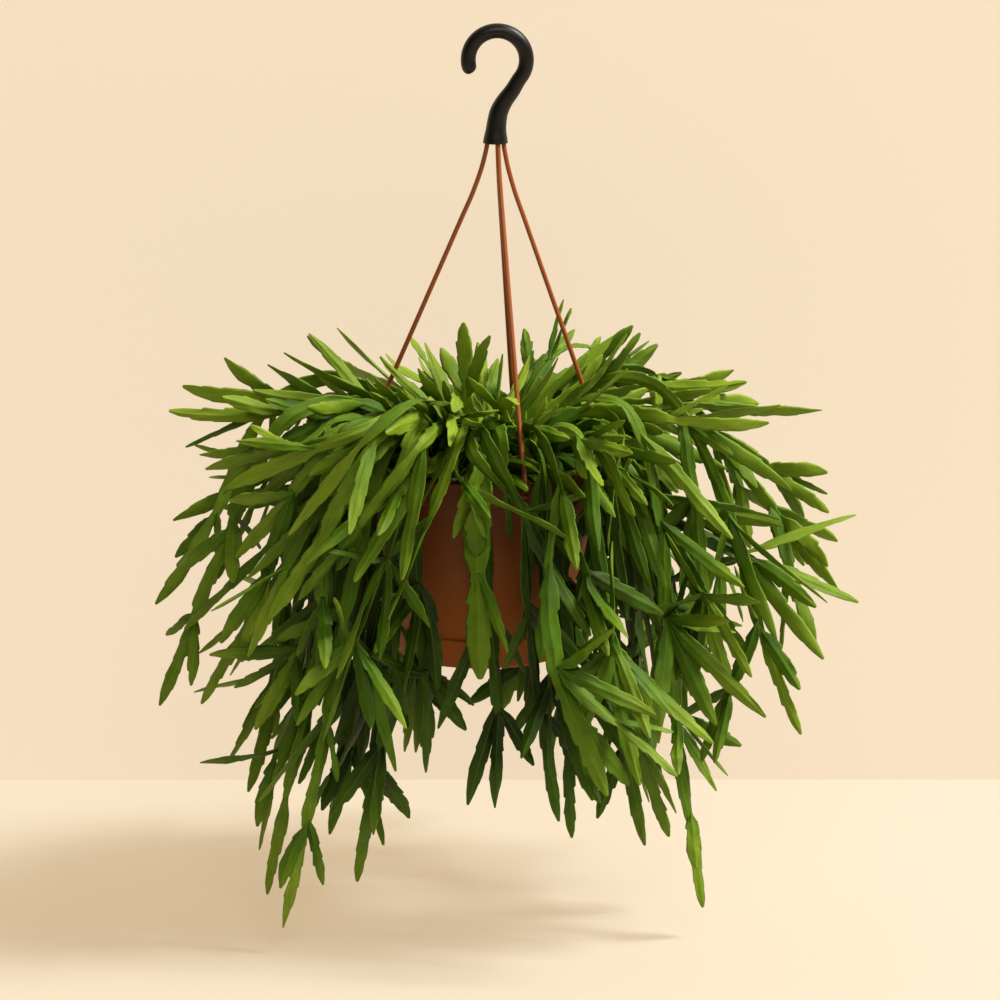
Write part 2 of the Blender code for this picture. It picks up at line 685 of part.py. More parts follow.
def fork_route(chain, joint, tip, change):
    """From a joint of a chain to another tip, leaving along the chain and drooping at the end."""
    rows = chain_frame(chain, np.array([joint - 2 * FORK_BACK, joint]))
    place, along, _, face = (row.mean(axis=0) for row in rows)
    end = tip_place(tip) + change["tip"]
    line = end - place
    far = np.linalg.norm(line)
    place = place + face * RIB / 6
    off = face * 0.34 * (1 if line @ face > 0 else -1)
    leave = unit(along * 0.5 + unit(line) + off + change["bend"])
    arrive = unit(unit(line) + (0, 0, -0.1) + 0.12 * outward(math.degrees(math.atan2(tip[2], tip[1])), 0))
    if tip[3] > 28:
        arrive = unit(unit(line) + outward(math.degrees(math.atan2(tip[2], tip[1])), end_lift(tip)))
    return bezier(place, place + leave * 0.3 * far, end - arrive * 0.36 * far, end, 40)


def draw_change(rng, attempt, tip_slack):
    """A random change to a route, which grows with each attempt."""
    size = (attempt / TRIES) ** 0.8
    return {
        "turn": rng.uniform(-44, 44) * size,
        "lift": rng.uniform(-20, 42) * size,
        "out": rng.uniform(-3, 26) * size,
        "up": rng.uniform(-6, 30) * size,
        "bend": rng.uniform(-0.9, 0.9, 3) * size,
        "tip": rng.uniform(-1, 1, 3) * tip_slack * size,
    }


def tip_place(tip):
    """A tip's place in the part's own frame."""
    return np.array([POT_X + tip[1] * MM, tip[2] * MM, RIM_Z + tip[3] * MM])


def best_forks(plant, tip):
    """The few joints of a plant's chains from which a fork to this tip is shortest and bends least."""
    choices = []
    for chain in plant["chains"]:
        joints = np.arange(1, chain["segments"]).astype(float)
        if len(joints) == 0:
            continue
        place, along, _, _ = chain_frame(chain, joints)
        line = tip_place(tip) - place
        far = np.linalg.norm(line, axis=1)
        cost = (far + 10 * MM) * (1.0 + 2.0 * np.abs(0.9 - np.sum(along * line, axis=1) / far))
        round_pot = np.degrees(np.arctan2(place[:, 1], place[:, 0] - POT_X))
        apart = round_pot - math.degrees(math.atan2(tip[2], tip[1]))
        cost = cost * (1.0 + np.abs((apart + 180) % 360 - 180) / 45)
        for k, joint in enumerate(joints):
            if far[k] > 0.6 * SEGMENT:
                choices.append((cost[k], k, chain, joint))
    choices.sort(key=lambda choice: choice[:2])
    return choices[:4]


def grow_chain(plant, rank, tip, space):
    """Bend one chain until it is clear of what all other plants and the pot hold, and place it."""
    number = plant["number"]
    rng = np.random.default_rng(1000 + 20 * number + rank)
    turn = math.degrees(math.atan2(tip[2], tip[1]))
    forks = best_forks(plant, tip)
    direct = np.linalg.norm(tip_place(tip) - plant["root"]) * 1.15
    for attempt in range(TRIES):
        change = draw_change(rng, attempt, tip[5])
        _, _, chain, joint = forks[attempt % len(forks)] if forks else (0, 0, None, 0)
        if forks and forks[0][0] < direct:
            route = fork_route(chain, joint, tip, change)
            neck = FORK_NECK
        else:
            route = main_route(plant, tip, change)
            neck = MAIN_NECK
        chain = make_chain(route, turn, SEGMENT_WIDE * tip[4], rng, neck)
        points, faces = chain_skin(chain, CLEAR)
        lenient = attempt > TRIES * (0.5 if plant["kind"] in ("rising", "short", "front") else 0.8)
        if space.is_free(number, points, faces) and (
                lenient or space.is_free(-2, *chain_skin(chain, CLEAR, skip=1))):
            space.add(number, points, faces)
            plant["chains"].append(chain)
            return True
    return False


def grow_plants(blocks, space):
    """Grow each plant's chains in turn, the furthest tips first, round the pot and its hanger."""
    plants = group_tips()
    for points, faces in blocks:
        space.add(-1, points, faces)
    for number, plant in enumerate(plants):
        plant["number"] = number
        plant["chains"] = []
        tips = [tip for _, tip in plant["tips"]]
        plant["tips"] = sorted(tips, key=lambda tip: -math.hypot(*tip[1:4]))
        space.add(number, *trunk_skin(plant["root"], CLEAR))
    for kind in GROWING_ORDER:
        for rank in range(max(len(plant["tips"]) for plant in plants)):
            for plant in plants:
                if plant["kind"] == kind and rank < len(plant["tips"]):
                    grow_chain(plant, rank, plant["tips"][rank], space)
    return [plant for plant in plants if len(plant["chains"]) > 1]


def fuse_plant(name, plant, group, cutters, material):
    """Join a plant's trunk and chains into one closed solid."""
    trunk = add_object(name, mesh_from(name, *trunk_skin(plant["root"])), group, material)
    chains = [add_object(f"{name}_chain_{k}", mesh_from("chain", *chain_skin(chain)), cutters)
              for k, chain in enumerate(plant["chains"])]
    combine(trunk, "UNION", chains, cutters, solver="MANIFOLD")
    tidy_union(trunk.data)
    return trunk


def main():
    """Build the pot and its hanger, then grow the plant in it."""
    group, cutters = reset_scene()
    pot = make_pot(group, cutters)
    saucer = make_saucer(group)
    hook = make_hook(group, cutters)
    rods = make_rods(group, cutters)
    soil = make_soil(group)
    blocks = [obstacle(item) for item in (pot, saucer, hook, *rods, soil)]
    plants = grow_plants(blocks, Clearance())
    bore_soil(soil, cutters, [plant["root"] for plant in plants])
    green = surface("stem skin", (0.09, 0.2, 0.03), 0.5)
    for number, plant in enumerate(plants):
        fuse_plant(f"stem_{number + 1:02d}", plant, group, cutters, green)
    cutters.hide_render = True


main()
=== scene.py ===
"""The looks of a potted rhipsalis micrantha in its hanging pot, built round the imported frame.

The stems are grown by the same rule and draws as the solids, then skinned finely, so that each fine stem
keeps its solid's form and place. All lengths are in metres, in the frame of the solids.
"""
import math

import bpy
import numpy as np
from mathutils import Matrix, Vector
from mathutils.bvhtree import BVHTree


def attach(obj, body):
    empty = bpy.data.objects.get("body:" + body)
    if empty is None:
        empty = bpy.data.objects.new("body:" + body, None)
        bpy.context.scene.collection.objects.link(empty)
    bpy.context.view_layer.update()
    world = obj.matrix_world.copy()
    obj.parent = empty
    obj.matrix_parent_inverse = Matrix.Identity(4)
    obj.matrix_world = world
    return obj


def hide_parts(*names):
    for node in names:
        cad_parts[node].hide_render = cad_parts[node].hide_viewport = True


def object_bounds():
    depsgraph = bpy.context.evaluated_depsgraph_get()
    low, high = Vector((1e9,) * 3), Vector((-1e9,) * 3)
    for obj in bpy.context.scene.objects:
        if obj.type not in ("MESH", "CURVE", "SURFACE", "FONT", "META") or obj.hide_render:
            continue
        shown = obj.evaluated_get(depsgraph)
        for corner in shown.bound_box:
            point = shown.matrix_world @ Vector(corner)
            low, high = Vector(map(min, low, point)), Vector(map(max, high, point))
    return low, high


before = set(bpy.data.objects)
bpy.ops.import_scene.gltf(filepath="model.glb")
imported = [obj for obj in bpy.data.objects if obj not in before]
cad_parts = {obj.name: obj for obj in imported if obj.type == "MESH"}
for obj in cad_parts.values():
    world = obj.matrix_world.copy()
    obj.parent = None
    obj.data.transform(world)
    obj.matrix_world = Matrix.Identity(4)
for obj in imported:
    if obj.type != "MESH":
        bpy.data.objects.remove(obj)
cad_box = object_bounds()

MM = 0.001

# Pot, saucer and soil: heights are above the rim plane, and every turned piece is on the pot's axis
POT_X = -10.4 * MM
RIM_Z = -289 * MM
RIM_R = 85 * MM
RIM_BAND = 16.6 * MM
BODY_TOP_R = 81 * MM
FOOT_R = 57 * MM
POT_HEIGHT = 131 * MM
WALL = 2 * MM
FLOOR = 2.4 * MM
SAUCER_R = 61.2 * MM
SAUCER_FOOT_R = 59 * MM
SAUCER_TOP = -115 * MM
SAUCER_BOTTOM = -134.5 * MM
SAUCER_WALL = 1.6 * MM
SNAP = 0.9 * MM
SOIL_TOP = -10 * MM
SOIL_CROWN = 3 * MM
GAP = 0.3 * MM
SOIL_STEPS = 30
NECK_R = SAUCER_R - SAUCER_WALL - GAP - 0.4 * MM

# Hook and rods
CROOK_INNER_R = 14.5 * MM
HOOK_R = 5.1 * MM
COLLAR_R = 8.5 * MM
COLLAR_X = -1.3 * MM
COLLAR_BOTTOM = -71 * MM
ROD_R = 1.6 * MM
ROD_RING = 5.5 * MM
ROD_AZIMUTHS = {"right": 0, "rear": 75, "left": 180, "front": 289}
HOLE_R = 1.95 * MM
EAR_R = 88 * MM
EAR_WIDE = 9 * MM
EAR_THICK = 5 * MM
EAR_TOP = -1.5 * MM
BEAD_R = 2.5 * MM

# Stems: a chain of flat segments, each with a rib on its outer face and notched margins. A segment's
# stations lie at these shares of it, with these shares of its half-width left and right of the rib.
SEGMENT = 68 * MM
SEGMENT_WIDE = 11.8 * MM
RIB = 2.2 * MM
STATIONS = (0.0, 0.24, 0.68)
LEFT_SHARES = (0.52, 1.0, 0.8)
RIGHT_SHARES = (0.52, 0.84, 1.0)
SIZES = (0.85, 1.12)
PATH_POINTS = 65
ROUTE_POINTS = 40
KNEE = 2.6 * MM

# How wide a chain starts at a fork and at its trunk, and how far its first margins lie below its path
FORK_NECK = 1.9 * MM
MAIN_NECK = 4.2 * MM
NECK_EDGE = 0.4 * MM

# Forks: how far behind its joint a fork starts and the least length of one, as shares of a segment, how
# strongly it leaves the blade's face, and how many joints are tried for a tip
FORK_BACK = 0.16
FORK_LEAST = 0.6
FORK_OFF = 0.34
FORK_CHOICES = 4

# What a fork costs is its length plus a joint's cost, and more by how it bends and by its turn round the pot,
# where so many degrees double it. It is taken where that is less than the distance from the root times the last.
JOINT_COST = 10 * MM
TURN_COST = 45
DIRECT_COST = 1.15

# How a chain's blades turn about it, in degrees: those that run sideways are rolled to face the front or the
# back, and each is turned a little from the one before it, over this share of a segment beside their joint
FACING = 62
FIRST_TURN = 28
NEXT_TURN = 14
MOST_TURN = 40
TURN_SHARE = 0.18

# The stems' feet
TRUNK_R = 3.6 * MM
TRUNK_SIDES = 5
TRUNK_DEEP = 13.7 * MM
TRUNK_TALL = 12 * MM
TRUNK_START = 7 * MM
TRUNK_SPACE = 11.5 * MM
ROOT_HEIGHT = SOIL_TOP + 0.6 * SOIL_CROWN
SPREAD_ROUNDS = 300
SPREAD_STEP = 0.5

# Lengths of a curve's two handles as shares of its span
RISING_HANDLES = (0.42, 0.3)
FORK_HANDLES = (0.3, 0.36)

# A tip over the rim that is no further out and no lower than this, in mm, needs no crest
NEAR_REACH = 140
NEAR_HEIGHT = -10

# A hanging stem's crest: how far out and how high over the rim, in mm, how much both grow with its reach past
# the rim, and its slope in degrees
CREST_REACH = 86
CREST_HEIGHT = 13
CREST_GROWTH = 0.24
CREST_SLOPE = -14
RIM_REACH = 85

# The crest is turned by this share of the way to its trunk's side. It is also turned towards the front or the
# back, by one share and, for a tip that hangs so many mm below the rim, another, so that the stems fall as a
# curtain.
TO_TRUNK = 0.25
TO_FRONT = 0.1
TO_FRONT_LOW = 0.3
LOW_TIP = 220

# A rising stem leaves its root so many degrees steeper than its tip lies, up to the steepest
FIRST_LIFT = 26
STEEPEST = 82

# How a chain is bent until it is clear: the room it keeps, the tries, how far its tip may move and the spans
# of the changes, in degrees and mm
CLEAR = 0.45 * MM
TRIES = 175
TIP_SLACK = 12 * MM
FILLER_SLACK = 38 * MM
CHANGES = {"turn": (-44, 44), "lift": (-20, 42), "out": (-3, 26), "up": (-6, 30)}

# The share of the tries for which a chain also has to be clear of its own plant's chains
STRICT_SHARE = 0.8
CROWDED_STRICT_SHARE = 0.5

# Tips higher than this over the rim, in mm, point up, by so many degrees on the pot's axis and less further
# out. The others point down by so many.
YOUNG_HEIGHT = 28
AXIS_LIFT = 78
LIFT_LOSS = 0.3
LOW_LIFT = -15

# Owners in the clearance test that are no plant: the solids, and a piece that is tested against all others
SOLIDS = -1
NOBODY = -2

# Seeds of the random draws
FILLER_SEED = 11
EXTRA_SEED = 23
SHOOT_SEED = 5
SOIL_SEED = 3
CHAIN_SEED = 1000
CHAIN_SEEDS_A_PLANT = 20
BLADE_SEED = 70000
BLADE_SEEDS_A_PLANT = 300
TRUNK_SEED = 900

# Tips of the stems that give the outline: x and y from the pot's axis and height above the rim, in mm
RISING_TIPS = (
    (-120, 20, 84), (-135, -30, 80), (-70, -10, 74), (-40, 30, 76), (14, 40, 66), (40, -20, 58),
    (-26, -40, 60), (-58, -50, 60), (90, 40, 78), (100, 10, 70), (122, -10, 54), (-160, -10, 50),
    (-207, 20, 48), (-213, -30, 34), (175, 60, 52), (183, 20, 50), (156, -30, 54), (193, 50, 28),
    (205, -10, 40), (232, 0, 32), (201, -60, 30), (60, -60, 43), (-90, -80, 40),
)
REACHING_TIPS = (
    (241, 40, -19), (257, -20, -35), (243, 50, -50), (202, -60, -30), (250, 60, -73), (248, 30, -100),
    (257, -50, -90), (233, -90, -81), (186, -110, -75), (233, -60, -128), (231, 0, -133),
    (224, -60, -175), (192, -100, -158), (180, -20, -200), (168, -70, -207), (156, -110, -173),
    (150, -60, -200), (158, -70, -295), (151, -20, -265), (126, -90, -241), (-228, 0, -103),
    (-216, 30, -51), (-208, 50, -3), (-187, -50, 0), (-172, -60, -63), (-166, -90, 0),
    (-135, -110, -303), (-148, -60, -295), (-155, -30, -272), (-152, -100, -217), (-144, -60, -213),
    (-164, 0, -239), (-195, -40, -206), (-179, 20, -222), (-185, -80, -119), (-224, -10, -172),
    (130, -40, -180), (140, -30, -150), (170, -40, -150), (-120, -60, -190), (-130, -20, -220),
    (-170, -50, -150), (-205, -30, -114), (-164, -110, -96), (-143, -130, -78), (-117, -150, -41),
    (-97, -140, -64), (-114, -120, 13), (200, -70, -112), (182, -92, -132), (166, -104, -90),
)
FALLING_TIPS = (
    (112, -60, -260), (81, -80, -224), (62, -45, -259), (67, -75, -172), (49, 60, -233), (31, 75, -210),
    (9, -76, -228), (-10, -78, -226), (-6, 76, -197), (-30, -90, -169), (-41, -74, -206),
    (-50, -58, -241), (-68, -50, -263), (-74, -90, -243), (-86, -80, -280), (-106, -30, -261),
    (-68, -120, -71), (76, -130, -36), (75, -108, -44), (102, -120, -13), (19, -110, -39),
    (-55, -88, -95), (-62, -84, -140), (-76, -74, -170), (-50, -100, -40), (58, -92, -95),
    (66, -82, -140), (50, -100, -50), (110, -90, -200), (95, -60, -190), (120, 20, -220),
    (90, 30, -180), (-100, -90, -200), (-90, -30, -210), (-110, 20, -200),
)
FRONT_TIPS = (
    (-1, -110, -129), (69, -115, -2), (-62, -110, 2), (-12, -50, 104), (-36, -108, 12), (40, -112, 14),
)
BROAD_TIPS = {
    (-1, -110, -129): 1.7, (69, -115, -2): 1.6, (19, -110, -39): 1.3, (-62, -110, 2): 1.3,
    (-12, -50, 104): 1.2,
}

# Tips by rule for what the front view's outline leaves open, the back, the canopy and the inner curtain: the
# kind, how many, the arc in degrees, and the least and greatest reach and height in mm
FILLER_RULES = (
    ("reaching", 24, (12, 168), (150, 232), (-230, 12)),
    ("falling", 13, (15, 165), (88, 135), (-270, -90)),
    ("rising", 9, (12, 168), (70, 200), (35, 75)),
    ("short", 14, (-172, -8), (70, 150), (8, 45)),
    ("short", 9, (10, 170), (40, 130), (15, 55)),
    ("rising", 8, (-180, 180), (20, 60), (38, 62)),
    ("reaching", 14, (-178, -118), (125, 195), (-180, -20)),
    ("reaching", 12, (-64, -4), (125, 205), (-180, -20)),
    ("falling", 6, (-160, -112), (92, 125), (-190, -50)),
    ("falling", 6, (-65, -20), (92, 125), (-190, -50)),
    ("falling", 10, (-166, -14), (100, 135), (-15, 22)),
)

GROWING_ORDER = ("front", "falling", "reaching", "rising", "short")

# Where each kind of stem leaves the soil, and how many of its tips share one trunk
KINDS = {
    "rising": {"ring": 17 * MM, "share": 8},
    "short": {"ring": 31 * MM, "share": 8},
    "reaching": {"ring": 45 * MM, "share": 9},
    "falling": {"ring": 61 * MM, "share": 8},
    "front": {"ring": 36 * MM, "share": 6},
}


def polar(radius, degrees, height=0.0):
    """A point round the pot's axis, at a height above the rim plane."""
    turn = math.radians(degrees)
    return np.array([POT_X + radius * math.cos(turn), radius * math.sin(turn), RIM_Z + height])


def unit(vector):
    """The vector at length one, for one vector or a row of them."""
    return vector / np.linalg.norm(vector, axis=-1, keepdims=True)


def bezier(a, b, c, d, count):
    """Points along a cubic curve with ends a and d and handles b and c."""
    t = np.linspace(0, 1, count)[:, None]
    s = 1 - t
    return s ** 3 * a + 3 * s * s * t * b + 3 * s * t * t * c + t ** 3 * d


def even(points, count):
    """Points spaced evenly along a polyline, and its length."""
    run = np.concatenate([[0], np.cumsum(np.linalg.norm(np.diff(points, axis=0), axis=1))])
    at = np.linspace(0, run[-1], count)
    return between(at, run, points), run[-1]


def between(at, steps, rows):
    """Rows interpolated at these places between the steps they belong to."""
    return np.column_stack([np.interp(at, steps, rows[:, axis]) for axis in range(3)])


def tip_turn(tip):
    """A tip's azimuth round the pot's axis, in degrees."""
    return math.degrees(math.atan2(tip[2], tip[1]))


def half_turn(degrees):
    """The same angle, or each of a row of angles, between -180 and 180 degrees."""
    return (degrees + 180) % 360 - 180


def full_turn(count):
    """Angles spaced evenly round a full turn."""
    return np.linspace(0, 2 * math.pi, count, endpoint=False)


def outward(degrees, lift):
    """A direction away from the pot's axis, lifted above the level by so many degrees."""
    turn = math.radians(degrees)
    rise = math.radians(lift)
    return np.array([math.cos(turn) * math.cos(rise), math.sin(turn) * math.cos(rise), math.sin(rise)])


def make_chain(route, azimuth, wide, rng, neck):
    """A chain of flat segments along a route, with small knees at its joints and each segment turned."""
    path, length = even(route, PATH_POINTS)
    segments = max(1, round(length / SEGMENT))
    knees = rng.normal(0, KNEE, (segments + 1, 3))
    knees[0] = 0
    knees[-1] = 0
    at = np.linspace(0, segments, PATH_POINTS)
    joints = np.arange(segments + 1)
    path = path + between(at, joints, knees)
    aside, ahead = math.cos(math.radians(azimuth)), math.sin(math.radians(azimuth))
    facing = rng.choice((-1, 1, 1, 1)) * math.copysign(FACING, -ahead * aside) * abs(aside)
    turns = rng.normal(0, FIRST_TURN) + np.cumsum(rng.normal(0, NEXT_TURN, segments))
    turns = facing + np.clip(turns, -MOST_TURN, MOST_TURN)
    sizes = wide * rng.uniform(*SIZES, segments)
    return {"path": path, "segments": segments, "azimuth": azimuth, "turns": np.radians(turns),
            "wide": sizes, "neck": neck}


def chain_frame(chain, marks):
    """Places along a chain with the directions along it, across its blade and out of its ribbed face."""
    path = chain["path"]
    at = marks / chain["segments"] * (len(path) - 1)
    steps = np.arange(len(path))
    slope = np.gradient(path, axis=0)
    place = between(at, steps, path)
    along = unit(between(at, steps, slope))
    turn = math.radians(chain["azimuth"])
    level = np.array([-math.sin(turn), math.cos(turn), 0])
    across = unit(level - (along @ level)[:, None] * along)
    face = np.cross(along, across)
    joints = np.arange(chain["segments"] + 1)
    near = np.clip((marks - np.round(marks)) / TURN_SHARE, -1, 1)
    before = np.clip(np.round(marks) - 1, 0, chain["segments"] - 1).astype(int)
    after = np.clip(np.round(marks), 0, chain["segments"] - 1).astype(int)
    roll = chain["turns"][before] * (1 - near) / 2 + chain["turns"][after] * (1 + near) / 2
    roll = np.where(marks < 0.5, chain["turns"][0], roll)
    roll = np.where(marks > joints[-1] - 0.5, chain["turns"][-1], roll)
    cos, sin = np.cos(roll)[:, None], np.sin(roll)[:, None]
    return place, along, cos * across + sin * face, cos * face - sin * across


def chain_skin(chain, extra=0.0, skip=0):
    """The chain's solid: a section of two margins and a rib, notched left and right by turns."""
    marks = np.concatenate([k + np.array(STATIONS) for k in range(chain["segments"])])[skip:]
    place, along, across, face = chain_frame(chain, marks)
    sizes = np.repeat(chain["wide"], len(STATIONS))[skip:] / 2
    left = sizes * np.tile(LEFT_SHARES, chain["segments"])[skip:] + extra
    right = sizes * np.tile(RIGHT_SHARES, chain["segments"])[skip:] + extra
    low = np.full(len(marks), RIB / 3 + extra)
    high = np.full(len(marks), RIB * 2 / 3 + 2 * extra)
    if not skip:
        left[0] = right[0] = chain["neck"] / 2
        low[0] = NECK_EDGE
        high[0] = min(RIB * 2 / 3, chain["neck"] / 2)
    ring = np.stack([
        place + across * left[:, None] - face * low[:, None],
        place + face * high[:, None],
        place - across * right[:, None] - face * low[:, None],
    ], axis=1)
    tip = chain["path"][-1] + along[-1] * extra
    points = np.vstack([ring.reshape(-1, 3), tip])
    faces = [(0, 2, 1)]
    last = len(marks) - 1
    for k in range(last):
        for a, b in ((0, 1), (1, 2), (2, 0)):
            p, q, r, s = 3 * k + a, 3 * k + b, 3 * k + 3 + b, 3 * k + 3 + a
            faces += [(p, q, r), (p, r, s)]
    for a, b in ((0, 1), (1, 2), (2, 0)):
        faces.append((3 * last + a, 3 * last + b, len(points) - 1))
    return points, faces


def search_tree(points, faces):
    """A tree of triangles, in which others can be looked for."""
    return BVHTree.FromPolygons([tuple(p) for p in points], faces, all_triangles=True)


class Clearance:
    """What has been placed so far, by owner, to test whether a new piece is clear of all others.

    Once a lowest and a highest corner are set as its limits, a piece that leaves their box isn't free.
    """

    def __init__(self):
        self.limits = None
        self.owners = []
        self.low = []
        self.high = []
        self.trees = []

    def add(self, owner, points, faces):
        self.owners.append(owner)
        self.low.append(points.min(axis=0))
        self.high.append(points.max(axis=0))
        self.trees.append(search_tree(points, faces))

    def is_free(self, owner, points, faces):
        low, high = points.min(axis=0), points.max(axis=0)
        if self.limits and (np.any(low < self.limits[0]) or np.any(high > self.limits[1])):
            return False
        near = np.all((np.array(self.low) < high) & (np.array(self.high) > low), axis=1)
        tree = search_tree(points, faces)
        others = [k for k in np.flatnonzero(near) if self.owners[k] != owner]
        return not any(tree.overlap(self.trees[k]) for k in others)

    def place_chain(self, owner, chain, clear, apart):
        """Place a chain that is clear of all other owners and, unless apart is None, of its own one's too.

        Its own owner's pieces are tested without its first station, where it grows from one of them.
        """
        points, faces = chain_skin(chain, clear)
        if not self.is_free(owner, points, faces):
            return False
        if apart is not None and not self.is_free(NOBODY, *chain_skin(chain, apart, skip=1)):
            return False
        self.add(owner, points, faces)
        return True


def trunk_skin(place, extra=0.0):
    """A stub of stem: a few sides, from inside its hole to a little above the soil."""
    sides = TRUNK_SIDES
    turn = full_turn(sides)
    rim = np.column_stack([np.cos(turn), np.sin(turn), np.zeros(sides)])
    low = place + rim * (TRUNK_R + extra) - (0, 0, TRUNK_DEEP)
    high = place + rim * (TRUNK_R * 0.85 + extra) + (0, 0, TRUNK_TALL)
    faces = [(0, k + 1, k) for k in range(1, sides - 1)]
    faces += [(sides, sides + k, sides + k + 1) for k in range(1, sides - 1)]
    for a in range(sides):
        b = (a + 1) % sides
        faces += [(a, b, b + sides), (a, b + sides, a + sides)]
    return np.vstack([low, high]), faces


def tips_by_rule(rules, seed):
    """Tips by rule: each lies in its own share of the rule's arc, at a drawn place in it, reach and height.

    A rule that ends with a width also draws how much wider or narrower each of its chains is.
    """
    rng = np.random.default_rng(seed)
    tips = []
    for kind, count, turns, reaches, heights, *wide in rules:
        for k in range(count):
            turn = math.radians(turns[0] + (turns[1] - turns[0]) * (k + rng.uniform(0.1, 0.9)) / count)
            reach = rng.uniform(*reaches)
            height = rng.uniform(*heights)
            width = wide[0] * rng.uniform(0.86, 1.14) if wide else 1.0
            tips.append((kind, reach * math.cos(turn), reach * math.sin(turn), height, width, FILLER_SLACK))
    return tips


def all_tips():
    """Every tip with its kind and width, the photographed ones and those placed by rule."""
    tips = []
    kinds = ("rising", "reaching", "falling", "front")
    for kind, group in zip(kinds, (RISING_TIPS, REACHING_TIPS, FALLING_TIPS, FRONT_TIPS)):
        tips += [(kind, *tip, BROAD_TIPS.get(tip, 1.0), TIP_SLACK) for tip in group]
    return tips + tips_by_rule(FILLER_RULES, FILLER_SEED)


def group_tips():
    """Sort the tips of each kind round the pot and give each few neighbours one trunk."""
    plants = []
    tips = all_tips()
    for kind, rule in KINDS.items():
        own = sorted((tip_turn(tip), tip) for tip in tips if tip[0] == kind)
        count = math.ceil(len(own) / rule["share"])
        for k in range(count):
            part = own[len(own) * k // count:len(own) * (k + 1) // count]
            middle = sum(turn for turn, _ in part) / len(part)
            plants.append({"kind": kind, "azimuth": middle, "tips": part})
    for _ in range(SPREAD_ROUNDS):
        for plant in plants:
            ring = KINDS[plant["kind"]]["ring"]
            plant["root"] = polar(ring, plant["azimuth"], ROOT_HEIGHT)
        for one in plants:
            for other in plants:
                apart = np.linalg.norm(one["root"] - other["root"])
                if one is not other and apart < TRUNK_SPACE:
                    side = 1 if (one["azimuth"] - other["azimuth"]) % 360 < 180 else -1
                    one["azimuth"] += side * SPREAD_STEP
    return plants


def main_route(plant, tip, change):
    """From the trunk to a tip: one rising span, or one to a crest past the rim and one down from it."""
    start = plant["root"] + (0, 0, TRUNK_START)
    end = tip_place(tip) + change["tip"]
    reach = math.hypot(tip[1], tip[2])
    turn = tip_turn(tip)
    if tip[0] in ("rising", "short") or tip[3] > NEAR_HEIGHT and reach < NEAR_REACH:
        line = end - start
        far = np.linalg.norm(line)
        lift = math.degrees(math.asin(line[2] / far))
        aim = turn + change["turn"]
        leave, arrive = RISING_HANDLES
        first = start + far * leave * outward(aim, min(STEEPEST, lift + FIRST_LIFT + change["lift"]))
        second = end - far * arrive * outward(turn, end_lift(tip))
        return bezier(start, first, second, end, ROUTE_POINTS)
    past = max(0, reach - RIM_REACH)
    crest_r = (CREST_REACH + CREST_GROWTH * past + change["out"]) * MM
    crest_h = (CREST_HEIGHT + CREST_GROWTH * past + change["up"]) * MM
    swing = half_turn(plant["azimuth"] - turn)
    pull = (90 if turn > 0 else -90) - turn
    forward = TO_FRONT + TO_FRONT_LOW * min(1, max(0, -tip[3] / LOW_TIP))
    crest_turn = turn + TO_TRUNK * swing + forward * pull + change["turn"]
    crest = polar(crest_r, crest_turn, crest_h)
    rise = crest - start
    over = outward(crest_turn, CREST_SLOPE)
    first = start + (0, 0, 0.7 * rise[2] + 6 * MM) + 0.12 * rise * (1, 1, 0)
    up = bezier(start, first, crest - over * 0.45 * np.linalg.norm(rise[:2]), crest, 24)
    fall = end - crest
    far = np.linalg.norm(fall)
    level = np.linalg.norm(fall[:2])
    down = unit(fall + (0, 0, -0.06 * far) + 0.12 * level * outward(turn, 0))
    handle = crest + over * min(0.3 * level + 13 * MM, 0.4 * far)
    return np.vstack([up, bezier(crest, handle, end - down * 0.42 * far, end, ROUTE_POINTS)[1:]])


def end_lift(tip):
    """How steeply a rising tip points up, in degrees: the nearer the crown, the more upright."""
    return AXIS_LIFT - LIFT_LOSS * math.hypot(tip[1], tip[2]) if tip[3] > YOUNG_HEIGHT else LOW_LIFT


def fork_route(chain, joint, tip, change):
    """From a joint of a chain to another tip, leaving along the chain and drooping at the end."""
    rows = chain_frame(chain, np.array([joint - 2 * FORK_BACK, joint]))
    place, along, _, face = (row.mean(axis=0) for row in rows)
    end = tip_place(tip) + change["tip"]
    line = end - place
    far = np.linalg.norm(line)
    place = place + face * RIB / 6
    off = face * FORK_OFF * (1 if line @ face > 0 else -1)
    leave = unit(along * 0.5 + unit(line) + off + change["bend"])
    turn = tip_turn(tip)
    arrive = unit(unit(line) + (0, 0, -0.1) + 0.12 * outward(turn, 0))
    if tip[3] > YOUNG_HEIGHT:
        arrive = unit(unit(line) + outward(turn, end_lift(tip)))
    near, late = FORK_HANDLES
    return bezier(place, place + leave * near * far, end - arrive * late * far, end, ROUTE_POINTS)


def draw_change(rng, attempt, tip_slack):
    """A random change to a route, which grows with each attempt."""
    size = (attempt / TRIES) ** 0.8
    change = {key: rng.uniform(*span) * size for key, span in CHANGES.items()}
    change["bend"] = rng.uniform(-0.9, 0.9, 3) * size
    change["tip"] = rng.uniform(-1, 1, 3) * tip_slack * size
    return change


def tip_place(tip):
    """A tip's place in the part's own frame."""
    return np.array([POT_X + tip[1] * MM, tip[2] * MM, RIM_Z + tip[3] * MM])


